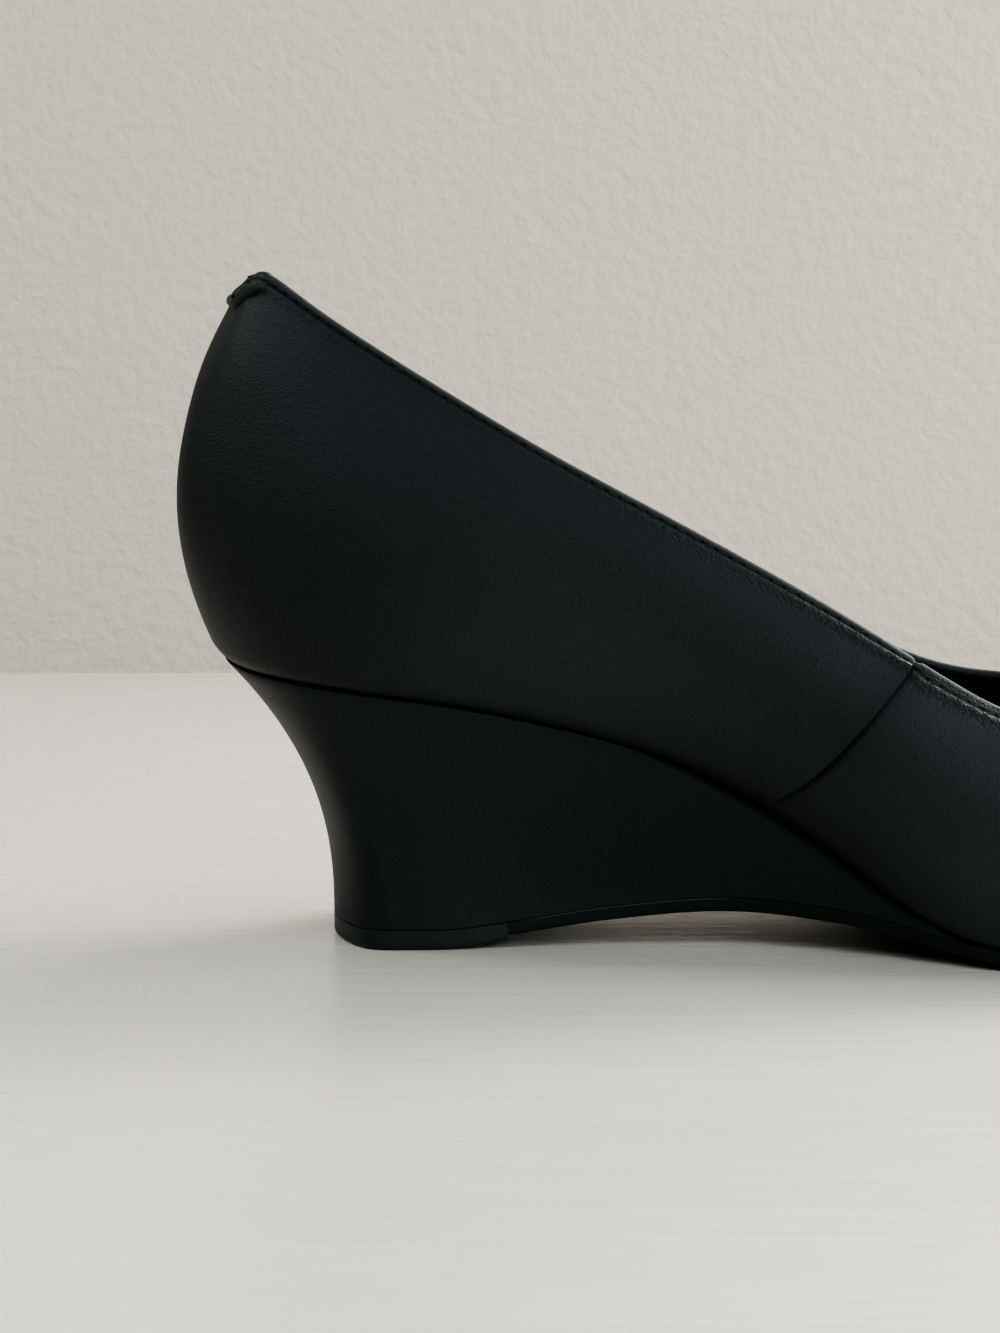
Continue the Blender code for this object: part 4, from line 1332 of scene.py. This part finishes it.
# Radii of the edges. The wedge's upper edge is softer along a stretch of its side.
WEDGE_LOW_EDGE = 0.18 * MM
WEDGE_HIGH_EDGE = 0.35 * MM
WEDGE_SOFT_EDGE = 2.0 * MM
TIP_EDGE = 0.8 * MM
SOLE_EDGE = 0.45 * MM
SOLE_TOP_EDGE = 0.10 * MM

# Stretches along the side: where they begin, are full, are still full and end.
WEDGE_SOFT_X = (0.060, 0.080, 0.101, 0.113)
# Where along the sole's medial top edge the painted highlight lies.
PAINTED_EDGE_HIGHLIGHT_X_MM = (52, 58, 80, 88)

# How far the wedge reaches down, the sole keeps off the tip and spreads, and the sock is dished.
WEDGE_DROP = 0.24 * MM
SOLE_GAP = 0.04 * MM
SOLE_SPREAD = 0.2 * MM
SOCK_DISH = 0.55 * MM
SOCK_EDGE_DROP = 0.7 * MM
THIN = 0.01 * MM  # the least height that a share is taken of


def rear_places(front_x, count):
    """Places from the lateral side round the back to the medial side, closer at the back."""
    reach = place_at(BASE_ROWS, front_x)
    share = np.linspace(-1, 1, count)
    return reach * (0.7 * share + 0.3 * share**3)


def front_places(rear_x, count):
    """Places from the medial side round the toe to the lateral side, closer at the toe."""
    reach = PERIOD / 2 - place_at(BASE_ROWS, rear_x)
    share = np.linspace(-1, 1, count)
    return PERIOD / 2 + reach * (0.8 * share + 0.2 * share**3)


def arc_piece(name, levels, finish, sharp_edges=False, values=None):
    """A closed piece through like arcs stacked from bottom to top, capped straight across."""
    count = len(levels[0])
    faces = skin_faces(len(levels), count).tolist()
    for start in range(0, (len(levels) - 1) * count, count):
        faces.append((start + count - 1, start, start + count, start + 2 * count - 1))
    for start in (0, (len(levels) - 1) * count):
        for k in range(count // 2):
            across = (start + k, start + k + 1, start + count - 2 - k, start + count - 1 - k)
            faces.append(tuple(dict.fromkeys(across)))
    piece = new_piece(name, np.concatenate(levels), faces, [finish], values=values)
    if sharp_edges:
        piece.data.set_sharp_from_angle(angle=math.radians(50))
    return piece


def quarter_turn(radius, count):
    """Distances from an edge of the given radius, evenly spaced round it."""
    return radius * (1 - np.cos(np.linspace(0, math.pi / 2, count)))


def round_edge(distance, radius):
    """How far a side is drawn in at a distance from an edge of the given radius."""
    inside = np.clip(radius - distance, 0, radius)
    return radius - math.sqrt(radius**2 - inside**2)


def make_wedge():
    at = rear_places(WEDGE_FRONT, 401)
    front = [(BASE[-1].curl, BASE[-1].inset)] * (len(FEATHER) - REAR_SECTIONS)
    rows = [(r.curl, r.inset) for r in BASE] + front
    curl, inset = on_loop(both_sides(rows, rows), at).T
    base = base_line(at) - (0, 0, WEDGE_DROP)
    seat = off_seat(feather_line(at, inset), -CLEARANCE)
    rise = seat[:, 2] - base[:, 2]
    tall = np.maximum(rise, THIN)
    x = base[:, 0]
    front_share = plateau(*WEDGE_SOFT_X, x)
    high_edge = WEDGE_HIGH_EDGE + (WEDGE_SOFT_EDGE - WEDGE_HIGH_EDGE) * front_share
    low_close = 1 - 0.75 * smooth_step(0.030, 0.040, x)
    low, high = np.minimum(WEDGE_LOW_EDGE / tall, 0.5), np.minimum(high_edge / tall, 0.5)
    rim = np.array([0, 0.13, 0.33, 0.6, 1.0])
    steps = []
    for k in rim * WEDGE_LOW_EDGE:
        steps.append((np.minimum(k / tall, 0.5), round_edge(k, WEDGE_LOW_EDGE) * low_close))
    for share in np.linspace(0, 1, 50)[1:-1]:
        steps.append((low + (1 - low - high) * share, 0.0))
    for k in rim[::-1]:
        steps.append((1 - np.minimum(k * high_edge / tall, 0.5), round_edge(k, 1.0) * high_edge))
    fit = np.clip(rise / (3 * MM), 0, 1)
    out = outward(BASE_ROWS, at)
    levels, painted_tuck_shade = [], []
    for t, drawn in steps:
        plan = base[:, :2] + (seat[:, :2] - base[:, :2]) * (t**curl)[:, None]
        plan = plan - out * (drawn * fit)[:, None]
        levels.append(np.column_stack([plan, base[:, 2] + rise * t]))
        # Painted shade on the wedge's top, strongest along the soft stretch of its side.
        below = rise * (1 - t) / MM
        painted_tuck_shade.append((1 - smooth_step(0.35, 1.7, below)) * (0.25 + 0.75 * front_share))
    values = {"painted_tuck_shade": np.concatenate(painted_tuck_shade)}
    belongs(arc_piece("wedge_cover", levels, WEDGE_LEATHER, values=values), "wedge", "wedge")


def make_tip():
    at = rear_places(TIP_FRONT, 161)
    top = base_line(at)[:, 2] - CLEARANCE
    past = np.clip((base_line(at)[:, 0] - TIP_FLAT_END) / (TIP_FRONT - TIP_FLAT_END), 0, 1)
    ground = TIP_TOE_LIFT * past**2
    shapes = [(round_edge(k, TIP_EDGE), ground + k) for k in quarter_turn(TIP_EDGE, 7)]
    for share in np.linspace(0, 1, 6)[1:]:
        side = (top - 0.12 * MM - ground - TIP_EDGE) * share
        shapes.append((0.0, ground + TIP_EDGE + side))
    shapes.append((0.15 * MM, top))
    levels = [np.column_stack([base_line(at, inset)[:, :2], height]) for inset, height in shapes]
    piece = arc_piece("tip_rubber", levels, TIP_RUBBER, sharp_edges=True)
    belongs(piece, "heel_tip", "heel_tip")


def make_sole():
    at = front_places(TIP_FRONT + CLEARANCE, 521)
    side = OUTSOLE_THICKNESS - SOLE_EDGE - 0.2 * MM
    shapes = [(round_edge(k, SOLE_EDGE), k - SOLE_TOP) for k in quarter_turn(SOLE_EDGE, 5)]
    shapes += [(0.0, SOLE_EDGE + side * share - SOLE_TOP) for share in np.linspace(0, 1, 4)[1:-1]]
    for k in quarter_turn(SOLE_TOP_EDGE, 4)[::-1]:
        shapes.append((round_edge(k, SOLE_TOP_EDGE), -CLEARANCE - k))
    levels = [base_line(at, inset - SOLE_SPREAD) + (0, 0, height) for inset, height in shapes]
    for level in levels:
        level[[0, -1], 0] = TIP_FRONT + SOLE_GAP
    x, y, _ = (levels[-1] / MM).T
    # Painted highlight on the medial side's top edge along a stretch of the sole.
    run = plateau(*PAINTED_EDGE_HIGHLIGHT_X_MM, x) * (y < 0)
    painted_edge_highlight = [run * (k >= len(levels) - 3) for k in range(len(levels))]
    values = {"painted_edge_highlight": np.concatenate(painted_edge_highlight)}
    piece = arc_piece("sole_rubber", levels, SOLE_RUBBER, sharp_edges=True, values=values)
    belongs(piece, "outsole", "outsole")


def make_sock():
    """The sock: slightly dished, with a turned edge against the lining."""
    even = np.linspace(0, 1, 241)
    eased = 0.5 * even + 0.5 * smooth_step(0, 1, even)
    half = PERIOD / 2 * (0.5 - 0.5 * np.cos(math.pi * eased))[1:-1]
    inset = WALL_THICKNESS + CLEARANCE + 1.0 * MM
    left, right = feather_line(half, inset), feather_line(PERIOD - half, inset)
    under_height = WALL_THICKNESS + CLEARANCE
    top, under = [], []
    for c in np.sin(np.linspace(-1, 1, 33) * math.pi / 2):
        point = left + (right - left) * (c + 1) / 2
        point[:, 2] = seat_height(point[:, 0], point[:, 1])
        turned = SOCK_EDGE_DROP * (1 - smooth_step(0.0, 0.035, 1 - abs(c))) ** 2
        raised = SOCK_DISH * (smooth_step(0.55, 1.0, abs(c)) - 1) - turned
        top.append(off_seat(point, under_height + INSOLE_THICKNESS + raised))
        under.append(off_seat(point, under_height))
    points, faces = closed_slab(np.stack(top, axis=1), np.stack(under, axis=1))
    belongs(new_piece("sock", points, faces, [SOCK_LEATHER]), "insole", "insole")


# The photograph's setting

STAGE_REACH = 4.0
WALL_LEFT = -0.27
WALL_HEIGHT = 2.4

Lamp = namedtuple("Lamp", "name place aim size power colour")
LAMPS = [
    Lamp("upper_wall", (0.38, 0.34, 0.42), (0.20, -0.80, 0.28), (1.0, 0.36), 12, (1.0, 0.975, 0.93)),
    Lamp("window", (0.75, 0.10, 0.60), (-0.02, 0.28, 0.06), (0.5, 0.5), 4.6, (1.0, 0.975, 0.94)),
    Lamp("far_window", (-0.75, -0.62, 0.95), (0.0, 0.0, 0.06), (0.8, 0.6), 5, (0.90, 0.96, 1.0)),
    Lamp("left_rim", (-0.75, 0.15, 0.62), (0.0, 0.0, 0.08), (0.35, 0.35), 2.2, (1.0, 0.98, 0.95)),
    Lamp("room_front", (-0.05, -1.2, 1.30), (0.06, 0.0, 0.04), (1.3, 0.9), 3.8, (0.93, 0.98, 1.0)),
    Lamp("near_fill", (0.34, -0.34, 0.12), (0.12, 0.0, 0.03), (0.3, 0.3), 1.2, (0.95, 0.98, 1.0)),
]


def stage_finish(name, colour, grain, depth, rough, shine):
    """A pale matt surface. grain is how many noise cells there are in a metre along each axis."""
    finish, tree, shader, place = start_finish(name, Specular_IOR_Level=shine)
    pattern = add_node(tree, "ShaderNodeMapping", {"Vector": place, "Scale": grain})
    change = noise(tree, pattern.outputs[0], 1.0, 4.0)["Fac"]
    tone = blend_colour(tree, change, tuple(0.955 * c for c in colour), colour)
    complete(tree, shader, tone, remap(tree, change, 0.3, 0.7, rough, rough + 0.08), change, depth)
    return finish


def clear_from_behind(finish):
    """Lets light and views through the finish's back."""
    tree = finish.node_tree
    sources = {
        0: add_node(tree, "ShaderNodeNewGeometry").outputs["Backfacing"],
        1: tree.nodes["Principled BSDF"].outputs[0],
        2: add_node(tree, "ShaderNodeBsdfTransparent").outputs[0],
    }
    mix = add_node(tree, "ShaderNodeMixShader", sources)
    feed(tree, tree.nodes["Material Output"].inputs["Surface"], mix.outputs[0])


def backdrop(name, corners, finish):
    mesh = bpy.data.meshes.new(name)
    mesh.from_pydata(corners, [], [(0, 1, 2, 3)])
    mesh.materials.append(finish)
    return link_object(name, mesh)


def make_stage():
    table = stage_finish("pale_table", (0.66, 0.63, 0.565), (14.0, 420.0, 1.0), 0.00005, 0.26, 0.50)
    plaster = stage_finish("pale_wall", (0.62, 0.58, 0.51), (260.0, 260.0, 260.0), 0.0012, 0.9, 0.25)
    clear_from_behind(plaster)
    far, left, reach, top = WALL_DISTANCE, WALL_LEFT, STAGE_REACH, WALL_HEIGHT
    corners = [(-reach, -reach, 0), (reach, -reach, 0), (reach, reach, 0), (-reach, reach, 0)]
    floor = backdrop("floor", corners, table)
    corners = [(left, far, 0), (reach, far, 0), (reach, far, top), (left, far, top)]
    wall = backdrop("wall", corners, plaster)


def make_lamp(lamp):
    light = bpy.data.lights.new(lamp.name, "AREA")
    light.shape = "RECTANGLE"
    light.size, light.size_y = lamp.size
    light.energy, light.color = lamp.power, lamp.colour
    holder = link_object(lamp.name, light)
    holder.location = lamp.place
    x, y, z = np.array(lamp.aim, float) - lamp.place
    holder.rotation_euler = (math.atan2(math.hypot(x, y), -z), 0, math.pi + math.atan2(x, -y))
    holder.visible_camera = False


def make_room():
    """The dim room that the black leather mirrors, lighter above and a little to the right."""
    world = bpy.data.worlds.new("room")
    world.use_nodes = True
    tree = world.node_tree
    way = split(tree, add_node(tree, "ShaderNodeTexCoord").outputs["Generated"])
    up = remap(tree, compute(tree, "MULTIPLY_ADD", way["X"], 0.25, way["Z"]), 0.0, 0.9)
    sky = blend_colour(tree, up, (0.045, 0.048, 0.050), (0.26, 0.275, 0.285))
    feed(tree, tree.nodes["Background"].inputs["Color"], sky)
    bpy.context.scene.world = world


def make_camera():
    camera = bpy.data.cameras.new("camera")
    camera.sensor_width = 36.0
    camera.lens = CAMERA_LENS
    camera.clip_start, camera.clip_end = 0.01, 50
    holder = link_object("camera", camera)
    holder.location = CAMERA_PLACE
    holder.rotation_euler = (math.radians(90 - CAMERA_PITCH), 0, 0)
    bpy.context.scene.camera = holder
    bpy.context.scene.view_settings.look = "AgX - High Contrast"


upper = form_upper()
row = stitch_row(upper)
make_upper(upper, row)
make_topline_stitches(row)
make_lining_stitches(upper, row)
make_seam_stitches(upper)
make_thread_ends(make_tab(upper))
make_wedge()
make_sole()
make_tip()
make_sock()
make_stage()
make_room()
for lamp in LAMPS:
    make_lamp(lamp)
make_camera()
